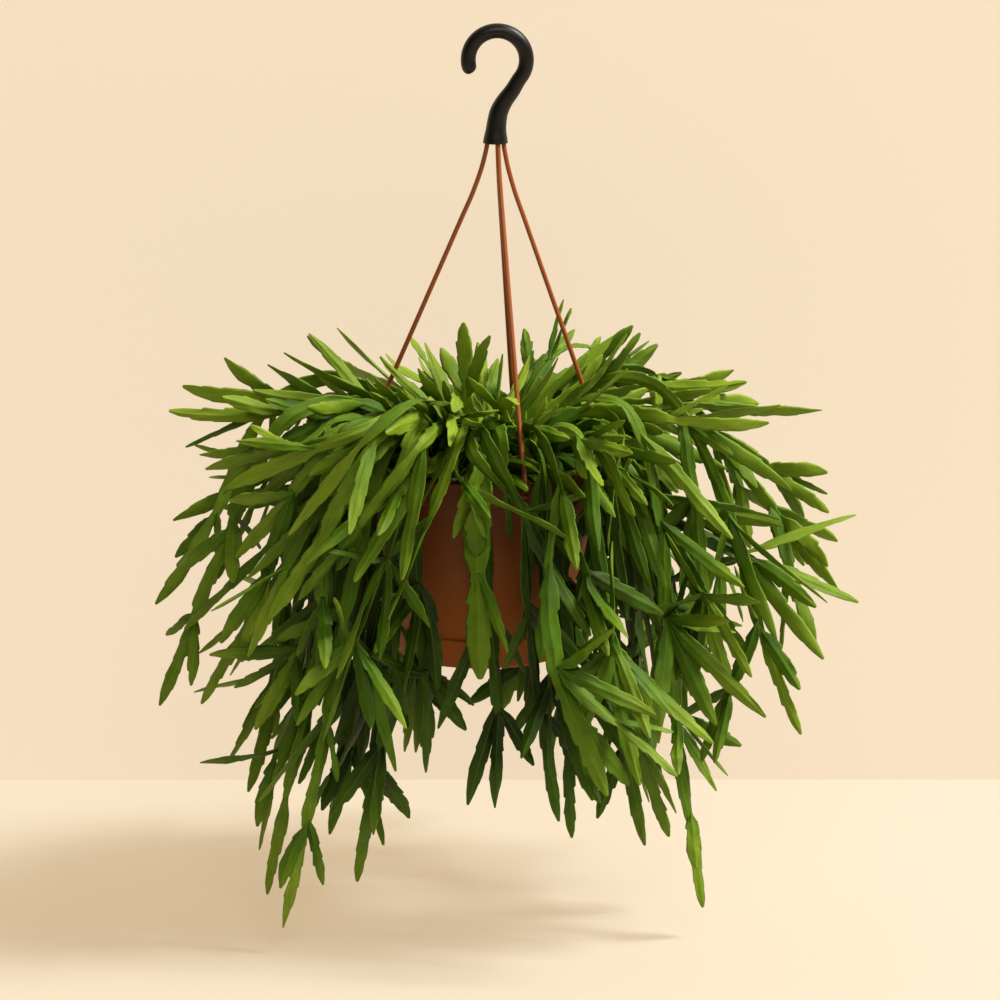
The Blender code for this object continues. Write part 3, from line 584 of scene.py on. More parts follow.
def best_forks(plant, tip):
    """The few joints of a plant's chains from which a fork to this tip is shortest and bends least."""
    choices = []
    for chain in plant["chains"]:
        joints = np.arange(1, chain["segments"]).astype(float)
        if len(joints) == 0:
            continue
        place, along, _, _ = chain_frame(chain, joints)
        line = tip_place(tip) - place
        far = np.linalg.norm(line, axis=1)
        cost = (far + JOINT_COST) * (1.0 + 2.0 * np.abs(0.9 - np.sum(along * line, axis=1) / far))
        round_pot = np.degrees(np.arctan2(place[:, 1], place[:, 0] - POT_X))
        cost = cost * (1.0 + np.abs(half_turn(round_pot - tip_turn(tip))) / TURN_COST)
        for k, joint in enumerate(joints):
            if far[k] > FORK_LEAST * SEGMENT:
                choices.append((cost[k], k, chain, joint))
    choices.sort(key=lambda choice: choice[:2])
    return choices[:FORK_CHOICES]


def grow_chain(plant, rank, tip, space):
    """Bend one chain until it is clear of what all other plants and the pot hold, and place it."""
    number = plant["number"]
    rng = np.random.default_rng(CHAIN_SEED + CHAIN_SEEDS_A_PLANT * number + rank)
    forks = best_forks(plant, tip)
    direct = np.linalg.norm(tip_place(tip) - plant["root"]) * DIRECT_COST
    for attempt in range(TRIES):
        change = draw_change(rng, attempt, tip[5])
        _, _, chain, joint = forks[attempt % len(forks)] if forks else (0, 0, None, 0)
        if forks and forks[0][0] < direct:
            route = fork_route(chain, joint, tip, change)
            neck = FORK_NECK
        else:
            route = main_route(plant, tip, change)
            neck = MAIN_NECK
        chain = make_chain(route, tip_turn(tip), SEGMENT_WIDE * tip[4], rng, neck)
        crowded = plant["kind"] in ("rising", "short", "front")
        lenient = attempt > TRIES * (CROWDED_STRICT_SHARE if crowded else STRICT_SHARE)
        if space.place_chain(number, chain, CLEAR, None if lenient else CLEAR):
            plant["chains"].append(chain)
            return True
    return False


def grow_plants(blocks, space):
    """Grow each plant's chains in turn, the furthest tips first, round the pot and its hanger."""
    plants = group_tips()
    for points, faces in blocks:
        space.add(SOLIDS, points, faces)
    for number, plant in enumerate(plants):
        plant["number"] = number
        plant["chains"] = []
        tips = [tip for _, tip in plant["tips"]]
        plant["tips"] = sorted(tips, key=lambda tip: -math.hypot(*tip[1:4]))
        space.add(number, *trunk_skin(plant["root"], CLEAR))
    for kind in GROWING_ORDER:
        for rank in range(max(len(plant["tips"]) for plant in plants)):
            for plant in plants:
                if plant["kind"] == kind and rank < len(plant["tips"]):
                    grow_chain(plant, rank, plant["tips"][rank], space)
    return [plant for plant in plants if len(plant["chains"]) > 1]


# Finer surfaces: a blade's teeth on each margin of a segment, its rows within a tooth, and its columns across
# the upper and the lower face

TEETH = 5
TOOTH_ROWS = np.array([0.0, 0.19, 0.38, 0.5, 0.88])
TOOTH_DEPTHS = (0.08, 0.34)
TOOTH_RISE = 0.88
NECK_SHARE = 0.6
BLADE_EDGE = 0.5 * MM
RIB_SHARE = 0.15
LAST_ROW = 0.012
UPPER = np.array([1.0, 0.82, 0.5, 0.17, 0.0, -0.17, -0.5, -0.82, -1.0])
LOWER = np.array([-0.7, 0.0, 0.7])

# A blade's margins wave and its sides fold, so high and so many times a segment, and it cups by so many mm,
# but less where it is narrow
WAVE = 0.9 * MM
WAVES = 1.35
FOLD = 0.35 * MM
FOLDS = 2.7
CUPS = (-0.9, 0.5)
CALM_WIDE = 3 * MM

ARC_POINTS = 4
SHOOT_ROUNDS = 5
CROOK_TIP = 191

# Side branches: the room each keeps from other plants and from its own, how far from the root they start, and
# the spans of their width, their length in mm and their slant to the chain in degrees
SHOOT_CLEAR = 0.3 * MM
SHOOT_APART = 0.2 * MM
SHOOT_AWAY = 50 * MM
SHOOT_WIDTHS = (0.8, 1.08)
SHOOT_LENGTHS = (36, 60)
SHOOT_SLANTS = (12, 36)

# An extra tip is offered to so many plants. One of another kind counts as so many degrees further off.
HOSTS = 4
OTHER_KIND = 20
EXTRA_RANK = 200

# Blades over the rim and a fuller curtain, which only the finer surfaces have. Each rule ends with a width.
EXTRA_RULES = (
    ("falling", 16, (-150, -30), (96, 120), (-34, -6), 1.25),
    ("short", 30, (-165, -15), (78, 126), (-6, 26), 1.25),
    ("falling", 22, (-172, -122), (92, 150), (-250, -40), 1.05),
    ("falling", 22, (-62, -8), (92, 150), (-250, -40), 1.05),
    ("reaching", 30, (-176, -105), (120, 215), (-210, 0), 1.05),
    ("reaching", 30, (-75, -4), (120, 225), (-210, 0), 1.05),
    ("short", 26, (2, 178), (70, 138), (-10, 30), 1.1),
    ("falling", 26, (8, 172), (92, 150), (-240, -40), 1.05),
    ("reaching", 30, (6, 174), (130, 215), (-200, 0), 1.05),
    ("falling", 16, (-30, 24), (92, 132), (-230, -20), 1.05),
    ("falling", 12, (158, 200), (92, 132), (-230, -20), 1.05),
    ("short", 12, (-24, 24), (80, 130), (-8, 22), 1.1),
    ("short", 14, (-126, -54), (84, 110), (-14, 10), 1.3),
    ("falling", 8, (-52, -36), (90, 106), (-140, -30), 1.1),
    ("falling", 6, (-134, -116), (90, 106), (-140, -30), 1.1),
)

# The hook's neck: x, z and radius in mm. A rod's line: its share of the way out to the ear, and z in mm.
NECK_LINE = (
    (9.9, -35.5, 5.4), (4.6, -42.8, 5.8), (1.1, -49.8, 6.3), (-0.3, -56.5, 6.6), (-0.9, -62.5, 7.1),
    (-1.2, -67.0, 7.95),
)
ROD_LINE = (
    (0, -66.8), (0, -70), (0.02, -80), (0.10, -103), (0.195, -123), (0.44, -174.5), (0.685, -226),
    (0.78, -246), (0.955, -279), (1, -288),
)

# How young the skin of each kind of stem looks at its root, from 0 to 1: rising stems are the youngest
FRESHNESS = {"rising": 0.55, "short": 0.6, "reaching": 0.32, "falling": 0.2, "front": 0.4}

# How much painted shade darkens a skin where the crown and the pot shade it: least on the front stems, which
# hang in the light
SHADE = {"front": 0.2}
MOST_SHADE = 0.85

# The painted shade sets in and ends at these depths below the rim, and ends this far from the pot's axis
SHADE_SETS_IN = (-16 * MM, 54 * MM)
SHADE_ENDS = (150 * MM, 290 * MM)
SHADE_REACH = (90 * MM, 195 * MM)

# Room, light and camera, in metres, degrees and watts
FLOOR_Z = -0.61
WALL_Y = 0.32
ROOM_SIDE = 6
WALL_TOP = 4
PLANT_MIDDLE = (0, 0, -0.34)
LAMPS = (
    ("key", (3.0, -0.3, 3.5), 1.3, 430, "#fffaf4"),
    ("fill", (0.4, -2.8, 2.1), 1.6, 48, "#fff8ec"),
)
EYE = (0.0018, -3.0797, 0.3637)
EYE_TILT = 77.51
LENS = 164.9
SENSOR = 36


def smooth(value, low, high):
    """A cubic ease from 0 at low to 1 at high: 3 s^2 - 2 s^3 of the clipped share s."""
    s = np.clip((value - low) / (high - low), 0, 1)
    return s * s * (3 - 2 * s)


def grid_faces(rows, columns):
    """Quads of a grid whose columns close round, between each row and the next."""
    row, column = np.meshgrid(np.arange(rows - 1), np.arange(columns), indexing="ij")
    a = row * columns + column
    b = row * columns + (column + 1) % columns
    return np.stack([a, b, b + columns, a + columns], axis=-1).reshape(-1, 4)


def closed_tube(rings, start, end):
    """Points, quads and triangles of rings (rows, columns, 3) with a fan to a point at each end."""
    rows, columns = rings.shape[:2]
    points = np.vstack([rings.reshape(-1, 3), start, end])
    first = np.arange(columns)
    second = (first + 1) % columns
    low = np.column_stack([second, first, np.full(columns, rows * columns)])
    last = (rows - 1) * columns
    high = np.column_stack([first + last, second + last, np.full(columns, rows * columns + 1)])
    return points, grid_faces(rows, columns), np.vstack([low, high])


def join_shells(shells):
    """Several shells of points, quads, triangles and named vertex values, in one."""
    offset = 0
    quads, triangles = [], []
    for shell in shells:
        quads.append(shell["quads"] + offset)
        triangles.append(shell["triangles"] + offset)
        offset += len(shell["points"])
    joined = {"quads": np.vstack(quads), "triangles": np.vstack(triangles)}
    for key in shells[0]:
        if key not in joined:
            joined[key] = np.vstack([shell[key] for shell in shells])
    return joined


def add_object(name, data):
    """An object of a mesh, a lamp or a camera, linked to the scene."""
    made = bpy.data.objects.new(name, data)
    bpy.context.scene.collection.objects.link(made)
    return made


def add_piece(name, shell, material, nodes=()):
    """A smooth mesh object of the shell, riding on the root body and standing for the nodes it names."""
    mesh = bpy.data.meshes.new(name)
    loops = np.concatenate([shell["quads"].ravel(), shell["triangles"].ravel()])
    quads, triangles = len(shell["quads"]), len(shell["triangles"])
    starts = np.concatenate([4 * np.arange(quads), 4 * quads + 3 * np.arange(triangles)])
    mesh.vertices.add(len(shell["points"]))
    mesh.vertices.foreach_set("co", shell["points"].astype(np.float32).ravel())
    mesh.loops.add(len(loops))
    mesh.loops.foreach_set("vertex_index", loops.astype(np.int32))
    mesh.polygons.add(len(starts))
    mesh.polygons.foreach_set("loop_start", starts.astype(np.int32))
    mesh.update(calc_edges=True)
    mesh.validate()
    mesh.shade_smooth()
    for key in shell:
        if key not in ("points", "quads", "triangles"):
            values = mesh.attributes.new(key, "FLOAT_VECTOR", "POINT")
            values.data.foreach_set("vector", shell[key].astype(np.float32).ravel())
    piece = add_object(name, mesh)
    mesh.materials.append(material)
    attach(piece, "root")
    if nodes:
        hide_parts(*nodes)


def blade_edges(chain, marks, rng):
    """Half-widths left and right of the rib: an envelope of plateau and necks, with teeth.

    Each tooth grows outwards towards the segment's tip for most of its length and then steps in sharply,
    and the teeth of one margin stand half a tooth from the other's. The last segment ends in a blunt point.
    """
    count = chain["segments"]
    part = np.minimum(np.floor(marks + 1e-9), count - 1).astype(int)
    t = np.clip(marks - part, 0, 1)
    wide = chain["wide"][part] / 2
    last = part == count - 1
    begin = np.where(part == 0, np.clip(chain["neck"] / chain["wide"][0], 0.3, 1), NECK_SHARE)
    rise = begin + (1 - begin) * smooth(t, 0, 0.26)
    point = np.clip((1 - t) / 0.3, 0, 1) ** 0.6
    fall = np.where(last, point, NECK_SHARE + (1 - NECK_SHARE) * smooth(1 - t, 0, 0.2))
    envelope = np.minimum(rise, fall)
    shown = np.where(last, smooth(1 - t, 0.04, 0.2), 1)
    edges = []
    for side, lean in ((0, (1.02, 0.86)), (1, (0.86, 1.02))):
        phase = t * TEETH + 0.5 * side
        draw = rng.uniform(*TOOTH_DEPTHS, (count, TEETH + 1)) * rng.choice((0.5, 1.0), (count, TEETH + 1))
        depth = draw[part, np.clip(np.floor(phase + 1e-6), 0, TEETH).astype(int)]
        share = phase + 1e-6 - np.floor(phase + 1e-6)
        dip = 1 - np.minimum(share / TOOTH_RISE, 1)
        along = lean[0] + (lean[1] - lean[0]) * smooth(t, 0.2, 0.75)
        edges.append(wide * envelope * along * (1 - depth * dip * shown))
    return edges, t, part


def blade_section():
    """A blade's section: its places u across, from 1 to -1 and back, and its height at each.

    The upper face is a low arch plus a bell-shaped rib, the lower face a shallower one.
    """
    u = np.concatenate([UPPER, LOWER])
    arch = 1 - u * u
    bell = np.exp(-(np.abs(u) / RIB_SHARE) ** 1.5)
    high = BLADE_EDGE + (RIB - BLADE_EDGE) * (0.34 * arch + 0.5 * bell)
    low = -(0.3 * arch + 0.3 * bell) * MM
    return u, np.where(np.arange(len(u)) < len(UPPER), high, low)


def painted_shade_share(place):
    """How much painted shade each place gets for lying in the shade of the crown and the pot, from 0 to 1."""
    away = np.hypot(place[:, 0] - POT_X, place[:, 1])
    deep = RIM_Z - place[:, 2]
    covered = smooth(deep, *SHADE_SETS_IN) * (1 - smooth(deep, *SHADE_ENDS))
    return covered * (1 - smooth(away, *SHADE_REACH))


def blade_shell(chain, number, rank, youth_and_shade):
    """A chain's fine skin: a thin blade with a raised rib, toothed waved margins and a rounded point.

    The margins lift and dip by a sine along the chain times u |u|, and the sides fold by a sine of u.

    The grain holds the place on the skin in mm. The tone holds a draw for each segment, the skin's youth less
    its painted shade, and |u|. The youth runs from the first value at the root to the second at the tip, less
    the third times the painted shade share, which darkens blades where the crown and the pot shade them.
    """
    rng = np.random.default_rng(BLADE_SEED + BLADE_SEEDS_A_PLANT * number + rank)
    count = chain["segments"]
    teeth = np.arange(count * TEETH)[:, None]
    marks = np.append((teeth + TOOTH_ROWS).ravel() / TEETH, [count - LAST_ROW])
    place, along, across, face = chain_frame(chain, marks)
    (left, right), t, part = blade_edges(chain, marks, rng)
    last = part == count - 1
    thick = np.where(last, np.clip((1 - t) / 0.16, 0.12, 1) ** 0.5, 1.0)
    beat = rng.uniform(0, 2 * math.pi)
    calm = np.minimum(1, left / CALM_WIDE)
    wave = WAVE * np.sin(2 * math.pi * marks * WAVES + beat) * calm
    cup = rng.uniform(*CUPS) * MM * calm
    fold = FOLD * np.sin(2 * math.pi * marks * FOLDS + rng.uniform(0, 6)) * calm
    u, height = blade_section()
    shift = np.where(u > 0, u[None] * left[:, None], u[None] * right[:, None])
    rise = (height[None] - RIB / 3) * thick[:, None]
    rise = rise + wave[:, None] * (u * np.abs(u))[None] + cup[:, None] * (u * u)[None]
    rise = rise + fold[:, None] * np.sin(math.pi * u)[None]
    rings = place[:, None] + across[:, None] * shift[..., None] + face[:, None] * rise[..., None]
    tip = place[-1] + along[-1] * LAST_ROW * np.linalg.norm(chain["path"][-1] - chain["path"][-6])
    points, quads, triangles = closed_tube(rings, place[:1], tip[None])
    length = np.linalg.norm(np.diff(chain["path"], axis=0), axis=1).sum()
    grain = np.empty(rings.shape)
    grain[..., 0] = shift / MM
    grain[..., 1] = (marks / count * length / MM)[:, None]
    grain[..., 2] = rng.uniform(0, 500)
    tone = np.empty(rings.shape)
    tone[..., 0] = rng.uniform(0, 1, count)[part][:, None]
    # Youth less painted shade where the crown and the pot shade the blade
    tone[..., 1] = (youth_and_shade[0] + (youth_and_shade[1] - youth_and_shade[0]) * marks / count - youth_and_shade[2] * painted_shade_share(place))[:, None]
    tone[..., 2] = np.abs(u)[None]
    shell = {"points": points, "quads": quads, "triangles": triangles}
    for key, values in (("grain", grain), ("tone", tone)):
        shell[key] = np.vstack([values.reshape(-1, 3), values[[0, -1], len(UPPER) // 2]])
    return shell


def all_triangles(shell):
    """A shell's triangles, with each of its quads cut in two."""
    quads = shell["quads"]
    return np.vstack([quads[:, [0, 1, 2]], quads[:, [0, 2, 3]], shell["triangles"]])


def outward_faces(shell):
    """The closed shell with its faces turned outwards.

    Where the sum of a . (b x c) over its triangles is below zero, every face is reversed.
    """
    a, b, c = (shell["points"][corner] for corner in all_triangles(shell).T)
    if np.sum(a * np.cross(b, c)) < 0:
        shell["quads"] = shell["quads"][:, ::-1]
        shell["triangles"] = shell["triangles"][:, ::-1]
    return shell


def plain_shell(rings, start, end):
    """A closed tube of rings as a shell with no values of its own."""
    points, quads, triangles = closed_tube(rings, np.reshape(start, (1, 3)), np.reshape(end, (1, 3)))
    return outward_faces({"points": points, "quads": quads, "triangles": triangles})


def rounded(profile, radius):
    """A polyline with its corners replaced by quadratic arcs that start at most a radius from each."""
    profile = np.array(profile, float)
    points = [profile[:1]]
    share = np.linspace(0, 1, ARC_POINTS)[:, None]
    for before, corner, after in zip(profile[:-2], profile[1:-1], profile[2:]):
        cut_in = min(radius, 0.45 * np.linalg.norm(corner - before))
        cut_out = min(radius, 0.45 * np.linalg.norm(after - corner))
        first = corner + unit(before - corner) * cut_in
        last = corner + unit(after - corner) * cut_out
        points.append((1 - share) ** 2 * first + 2 * share * (1 - share) * corner + share ** 2 * last)
    points.append(profile[-1:])
    return np.vstack(points)


def turned_shell(profile, steps=144):
    """A profile (r, z) carried round the pot's axis: x = r cos a, y = r sin a, with a pole at each end."""
    turn = full_turn(steps)
    inner = profile[1:-1]
    rings = np.empty((len(inner), steps, 3))
    rings[..., 0] = POT_X + inner[:, :1] * np.cos(turn)
    rings[..., 1] = inner[:, :1] * np.sin(turn)
    rings[..., 2] = RIM_Z + inner[:, 1:]
    return plain_shell(rings, (POT_X, 0, RIM_Z + profile[0, 1]), (POT_X, 0, RIM_Z + profile[-1, 1]))


def through(knots, steps):
    """A smooth line through the knots by cubic pieces, with slopes at the knots taken over the length run."""
    knots = np.array(knots, float)
    pieces = np.linalg.norm(np.diff(knots, axis=0), axis=1)
    slope = np.gradient(knots, np.concatenate([[0], np.cumsum(pieces)]), axis=0)
    at = np.linspace(0, len(knots) - 1, (len(knots) - 1) * steps + 1)
    k = np.minimum(at.astype(int), len(knots) - 2)
    s = (at - k)[:, None]
    a, b, m, n = knots[k], knots[k + 1], slope[k] * pieces[k, None], slope[k + 1] * pieces[k, None]
    return (a * (1 + 2 * s) + m * s) * (1 - s) ** 2 + (b * (3 - 2 * s) - n * (1 - s)) * s ** 2


def tube_shell(path, radii, side, columns):
    """A round tube along a path in one plane: path + r (cos a N + sin a side), with N across both."""
    side = np.array(side, float)
    along = unit(np.gradient(path, axis=0))
    across = unit(np.cross(along, side))
    turn = full_turn(columns)
    ring = across[:, None] * np.cos(turn)[None, :, None] + side * np.sin(turn)[None, :, None]
    rings = path[:, None] + ring * np.array(radii)[:, None, None]
    return plain_shell(rings, path[0], path[-1])


def pot_shell():
    """The pot, turned: a tapered wall, a stepped rim band, a small lip, a snap groove and a flat floor."""
    floor = FLOOR - POT_HEIGHT
    groove = SAUCER_TOP - 2.5 * MM
    inner_r, lip = RIM_R - WALL, 0.7 * MM
    profile = [
        (0, floor), (FOOT_R - WALL, floor), (NECK_R - WALL, SAUCER_TOP), (BODY_TOP_R - WALL, -RIM_BAND),
        (inner_r, 3 * MM - RIM_BAND), (inner_r, 0), (RIM_R + lip, 0), (RIM_R + lip, -2.4 * MM),
        (RIM_R - 0.1 * MM, -3 * MM), (RIM_R - MM, -RIM_BAND), (BODY_TOP_R, -RIM_BAND - 0.6 * MM),
        (NECK_R, groove), (NECK_R - SNAP, groove - 0.4 * MM), (NECK_R - SNAP, groove - 3 * MM),
        (NECK_R - 0.4 * MM, groove - 3.4 * MM), (FOOT_R, -POT_HEIGHT), (0, -POT_HEIGHT),
    ]
    return turned_shell(rounded(profile, 0.8 * MM))


def ear_shell(turn):
    """An ear for a rod: a slab round the rod's bore, from the bore's radius out to a D-shaped outline.

    Round the bore by an angle a, the outline's distance is the least of the flat sides' w / |sin a|, the
    root's d / |cos a| towards the pot and the round nose's radius.
    """
    around = full_turn(48)
    half, root = EAR_WIDE / 2, EAR_R - RIM_R + 1.2 * MM
    cos, sin = np.cos(around), np.sin(around)
    with np.errstate(divide="ignore"):
        flat = np.minimum(half / np.abs(sin), np.where(cos < 0, root / np.abs(cos), half))
    outline = np.minimum(flat, np.hypot(half, root))
    section = np.array([(0, 0.3), (0.12, 0), (0.86, 0), (1, 0.3), (1, 0.9), (0.86, 1), (0.12, 1), (0, 0.9)])
    away = HOLE_R + (outline[:, None] - HOLE_R) * section[:, 0]
    centre = polar(EAR_R, turn, EAR_TOP)
    facing = math.radians(turn)
    points = np.empty((len(around), len(section), 3))
    points[..., 0] = centre[0] + away * np.cos(around + facing)[:, None]
    points[..., 1] = centre[1] + away * np.sin(around + facing)[:, None]
    points[..., 2] = centre[2] - section[:, 1] * EAR_THICK
    rows, columns = points.shape[:2]
    closing = grid_faces(rows + 1, columns) % (rows * columns)
    shell = {"points": points.reshape(-1, 3), "quads": closing, "triangles": np.zeros((0, 3), int)}
    return outward_faces(shell)


def saucer_shell():
    """The saucer, turned: a shallow dish with a soft outer edge, whose inner bead snaps into the groove."""
    inner = SAUCER_R - SAUCER_WALL
    bead, middle = inner - SNAP - 0.4 * MM, SAUCER_TOP - 4.2 * MM
    floor = SAUCER_BOTTOM + SAUCER_WALL
    profile = [
        (0, floor), (SAUCER_FOOT_R - SAUCER_WALL, floor), (inner - 0.4 * MM, middle - 1.3 * MM),
        (bead, middle - 0.8 * MM), (bead, middle + 0.8 * MM), (inner, middle + 1.6 * MM),
        (inner, SAUCER_TOP), (SAUCER_R, SAUCER_TOP), (SAUCER_FOOT_R, SAUCER_BOTTOM + MM),
        (SAUCER_FOOT_R - MM, SAUCER_BOTTOM), (0, SAUCER_BOTTOM),
    ]
    return turned_shell(rounded(profile, 0.6 * MM))


def ripples(points, size, rng, waves=24):
    """Uneven ground: three times the mean of plane sine waves with random directions, near the given size."""
    heading = rng.uniform(0, 2 * math.pi, waves)
    pace = 2 * math.pi / (size * rng.uniform(0.6, 1.6, waves))
    start = rng.uniform(0, 2 * math.pi, waves)
    phase = (points[..., :1] * np.cos(heading) + points[..., 1:2] * np.sin(heading)) * pace + start
    return np.sin(phase).mean(axis=-1) * 3


def soil_profile(top):
    """The plug's profile: its crown, the top's points and the tapered side, a gap inside the pot's wall."""
    inside = WALL + GAP
    foot = FLOOR + GAP - POT_HEIGHT
    return np.array([
        (0, SOIL_TOP + SOIL_CROWN), *top, (RIM_R - inside, 3.4 * MM - RIM_BAND),
        (BODY_TOP_R - inside, -RIM_BAND), (NECK_R - inside, SAUCER_TOP), (FOOT_R - inside, foot), (0, foot),
    ])


def soil_shell(rng):
    """The plug of soil: a domed top in rings, roughened by ripples of 4 and 12 mm, over a tapered side."""
    radii = np.concatenate([np.linspace(2, 81, 46), [82.2, 82.7]]) * MM
    top = [(r, SOIL_TOP + SOIL_CROWN * (1 - r / (RIM_R - (WALL + GAP)))) for r in radii]
    shell = turned_shell(soil_profile(top), 128)
    points = shell["points"]
    away = np.hypot(points[:, 0] - POT_X, points[:, 1])
    upper = (points[:, 2] > RIM_Z + SOIL_TOP - MM) & (away < 0.0825)
    rough = 1.1 * ripples(points, 12 * MM, rng) + 0.8 * ripples(points, 4 * MM, rng)
    points[:, 2] += np.where(upper, rough, 0) * MM
    return shell


def chip_shells(rng, count=420):
    """Bark chips and crumbs on the soil: squashed six-sided lumps of 1.5 to 4 mm, each turned its own way."""
    turn = full_turn(6)
    rings = np.stack([np.column_stack([np.cos(turn) * w, np.sin(turn) * w, np.full(6, h)])
                      for w, h in ((0.7, -0.6), (1.0, 0.0), (0.65, 0.55))])
    shells = []
    for _ in range(count):
        reach, angle = 79 * MM * math.sqrt(rng.uniform(0, 1)), rng.uniform(0, 360)
        axes, _ = np.linalg.qr(rng.normal(0, 1, (3, 3)))
        size = rng.uniform(0.7, 2.0) * MM * np.array([1.0, rng.uniform(0.5, 1), rng.uniform(0.35, 0.8)])
        place = polar(reach, angle, SOIL_TOP + SOIL_CROWN * (1 - reach / RIM_R) + 0.6 * MM)
        lump = (rings * rng.uniform(0.8, 1.2, rings.shape) * size) @ axes.T + place
        pole = np.array([[0, 0, -0.8], [0, 0, 0.8]]) * size @ axes.T + place
        shells.append(plain_shell(lump, pole[0], pole[1]))
    return join_shells(shells)


def hook_shell():
    """The hook: a tube along the crook's arc and the curved neck, swelling to the collar's flared edge."""
    ring = CROOK_INNER_R + HOOK_R
    knots = []
    for beyond, radius in ((5.6, 0.9), (5.1, 2.6), (4.0, 3.9), (2.2, 4.8)):
        angle = math.radians(CROOK_TIP) + beyond * MM / ring
        knots.append((ring * math.cos(angle), ring * math.sin(angle) - CROOK_INNER_R, radius * MM))
    for angle in np.radians(np.linspace(CROOK_TIP, -40, 24)):
        knots.append((ring * math.cos(angle), ring * math.sin(angle) - CROOK_INNER_R, HOOK_R))
    for x, z, radius in NECK_LINE:
        knots.append((x * MM, z * MM, radius * MM))
    knots.append((COLLAR_X, COLLAR_BOTTOM + 0.5 * MM, COLLAR_R))
    line = through(knots, 6)
    foot = [(COLLAR_X, COLLAR_BOTTOM + 0.15 * MM, COLLAR_R - 0.15 * MM),
            (COLLAR_X, COLLAR_BOTTOM, COLLAR_R - 0.6 * MM)]
    line = np.vstack([line, foot])
    path = np.column_stack([line[:, 0], np.zeros(len(line)), line[:, 1]])
    return tube_shell(path, line[:, 2], (0, 1, 0), 40)


def rod_shell(turn):
    """A rod: a thin tube from its socket to its ear, in the plane of its azimuth, with a bead below."""
    angle = math.radians(turn)
    top = np.array([COLLAR_X + ROD_RING * math.cos(angle), ROD_RING * math.sin(angle), 0])
    ear = polar(EAR_R, turn) * (1, 1, 0)
    knots = [np.append(top + (ear - top) * part + (0, 0, z * MM), ROD_R) for part, z in ROD_LINE]
    under = RIM_Z + EAR_TOP - EAR_THICK - GAP
    bead = [(0.0, ROD_R), (0.2 * MM, 0.8 * BEAD_R), (0.9 * MM, BEAD_R), (2.0 * MM, BEAD_R),
            (3.2 * MM, 0.75 * BEAD_R), (4 * MM, 0.25 * BEAD_R)]
    line = np.vstack([through(knots, 9), [(ear[0], ear[1], under - down, radius) for down, radius in bead]])
    level = unit(ear - top)
    return tube_shell(line[:, :3], line[:, 3], (-level[1], level[0], 0), 20)


def trunk_shell(place, rng):
    """A stem's foot: a slightly swollen stub that stands in its hole, fluted by a cosine of its azimuth."""
    turn = full_turn(20)
    height = np.linspace(-TRUNK_DEEP, TRUNK_TALL, 12)
    swell = 1 - 0.15 * smooth(height, -2 * MM, TRUNK_TALL)
    flute = 1 + 0.06 * np.cos(5 * turn + rng.uniform(0, 6))
    away = TRUNK_R * 0.93 * swell[:, None] * flute
    level = np.repeat(height[:, None], 20, axis=1)
    rings = np.stack([away * np.cos(turn), away * np.sin(turn), level], axis=-1)
    shell = plain_shell(rings + place, place - (0, 0, TRUNK_DEEP), place + (0, 0, TRUNK_TALL))
    count = len(shell["points"])
    local = (shell["points"] - place) / MM
    about = np.arctan2(local[:, 1], local[:, 0]) * 3
    shell["grain"] = np.column_stack([about, local[:, 2], np.full(count, 7.0)])
    shell["tone"] = np.column_stack([np.full(count, 0.4), np.zeros(count), np.zeros(count)])
    return shell


# The plant's place among the solids, and the shoots that only the finer surfaces have


def node_block(name):
    """A solid's own triangles, for the clearance test."""
    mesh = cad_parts[name].data
    mesh.calc_loop_triangles()
    points = np.empty(3 * len(mesh.vertices), np.float32)
    mesh.vertices.foreach_get("co", points)
    corners = np.empty(3 * len(mesh.loop_triangles), np.int32)
    mesh.loop_triangles.foreach_get("vertices", corners)
    return points.reshape(-1, 3).astype(float), corners.reshape(-1, 3).tolist()


def soil_block():
    """The plain plug of soil without its holes, turned in a few steps, for the clearance test."""
    shell = turned_shell(soil_profile([(RIM_R - (WALL + GAP), SOIL_TOP)]), SOIL_STEPS)
    return shell["points"], all_triangles(shell).tolist()


def grow_extra(plants, space):
    """Grow each extra tip from one of the plants nearest to it round the pot, its own kind before the others.

    A hanging tip grows only from a plant that stands far enough out to hang over the rim.
    """
    outer = [plant for plant in plants if plant["kind"] in ("falling", "reaching", "front")]
    for rank, tip in enumerate(tips_by_rule(EXTRA_RULES, EXTRA_SEED)):
        near = sorted(plants if tip[0] == "short" else outer,
                      key=lambda plant: abs(half_turn(plant["azimuth"] - tip_turn(tip)))
                      + OTHER_KIND * (plant["kind"] != tip[0]))
        for plant in near[:HOSTS]:
            if grow_chain(plant, EXTRA_RANK + rank, tip, space):
                break


def shoot_route(chain, mark, rng, reach):
    """A side branch: it leaves the chain at a slant across the blade, then rises or hangs as it lies."""
    place, along, across, face = (row[0] for row in chain_frame(chain, np.array([mark])))
    slant = math.radians(rng.uniform(*SHOOT_SLANTS))
    side = rng.choice((-1, 1)) * across * rng.uniform(0.5, 1) + face * rng.uniform(-0.7, 0.9)
    leave = unit(along * math.cos(slant) + unit(side) * math.sin(slant))
    sag = -0.22 if place[2] < RIM_Z + 22 * MM else 0.12
    arrive = unit(leave + (0, 0, sag) + rng.normal(0, 0.12, 3))
    end = place + unit(leave + arrive) * reach
    near, late = FORK_HANDLES
    return bezier(place, place + leave * near * reach, end - arrive * late * reach, end, 20)


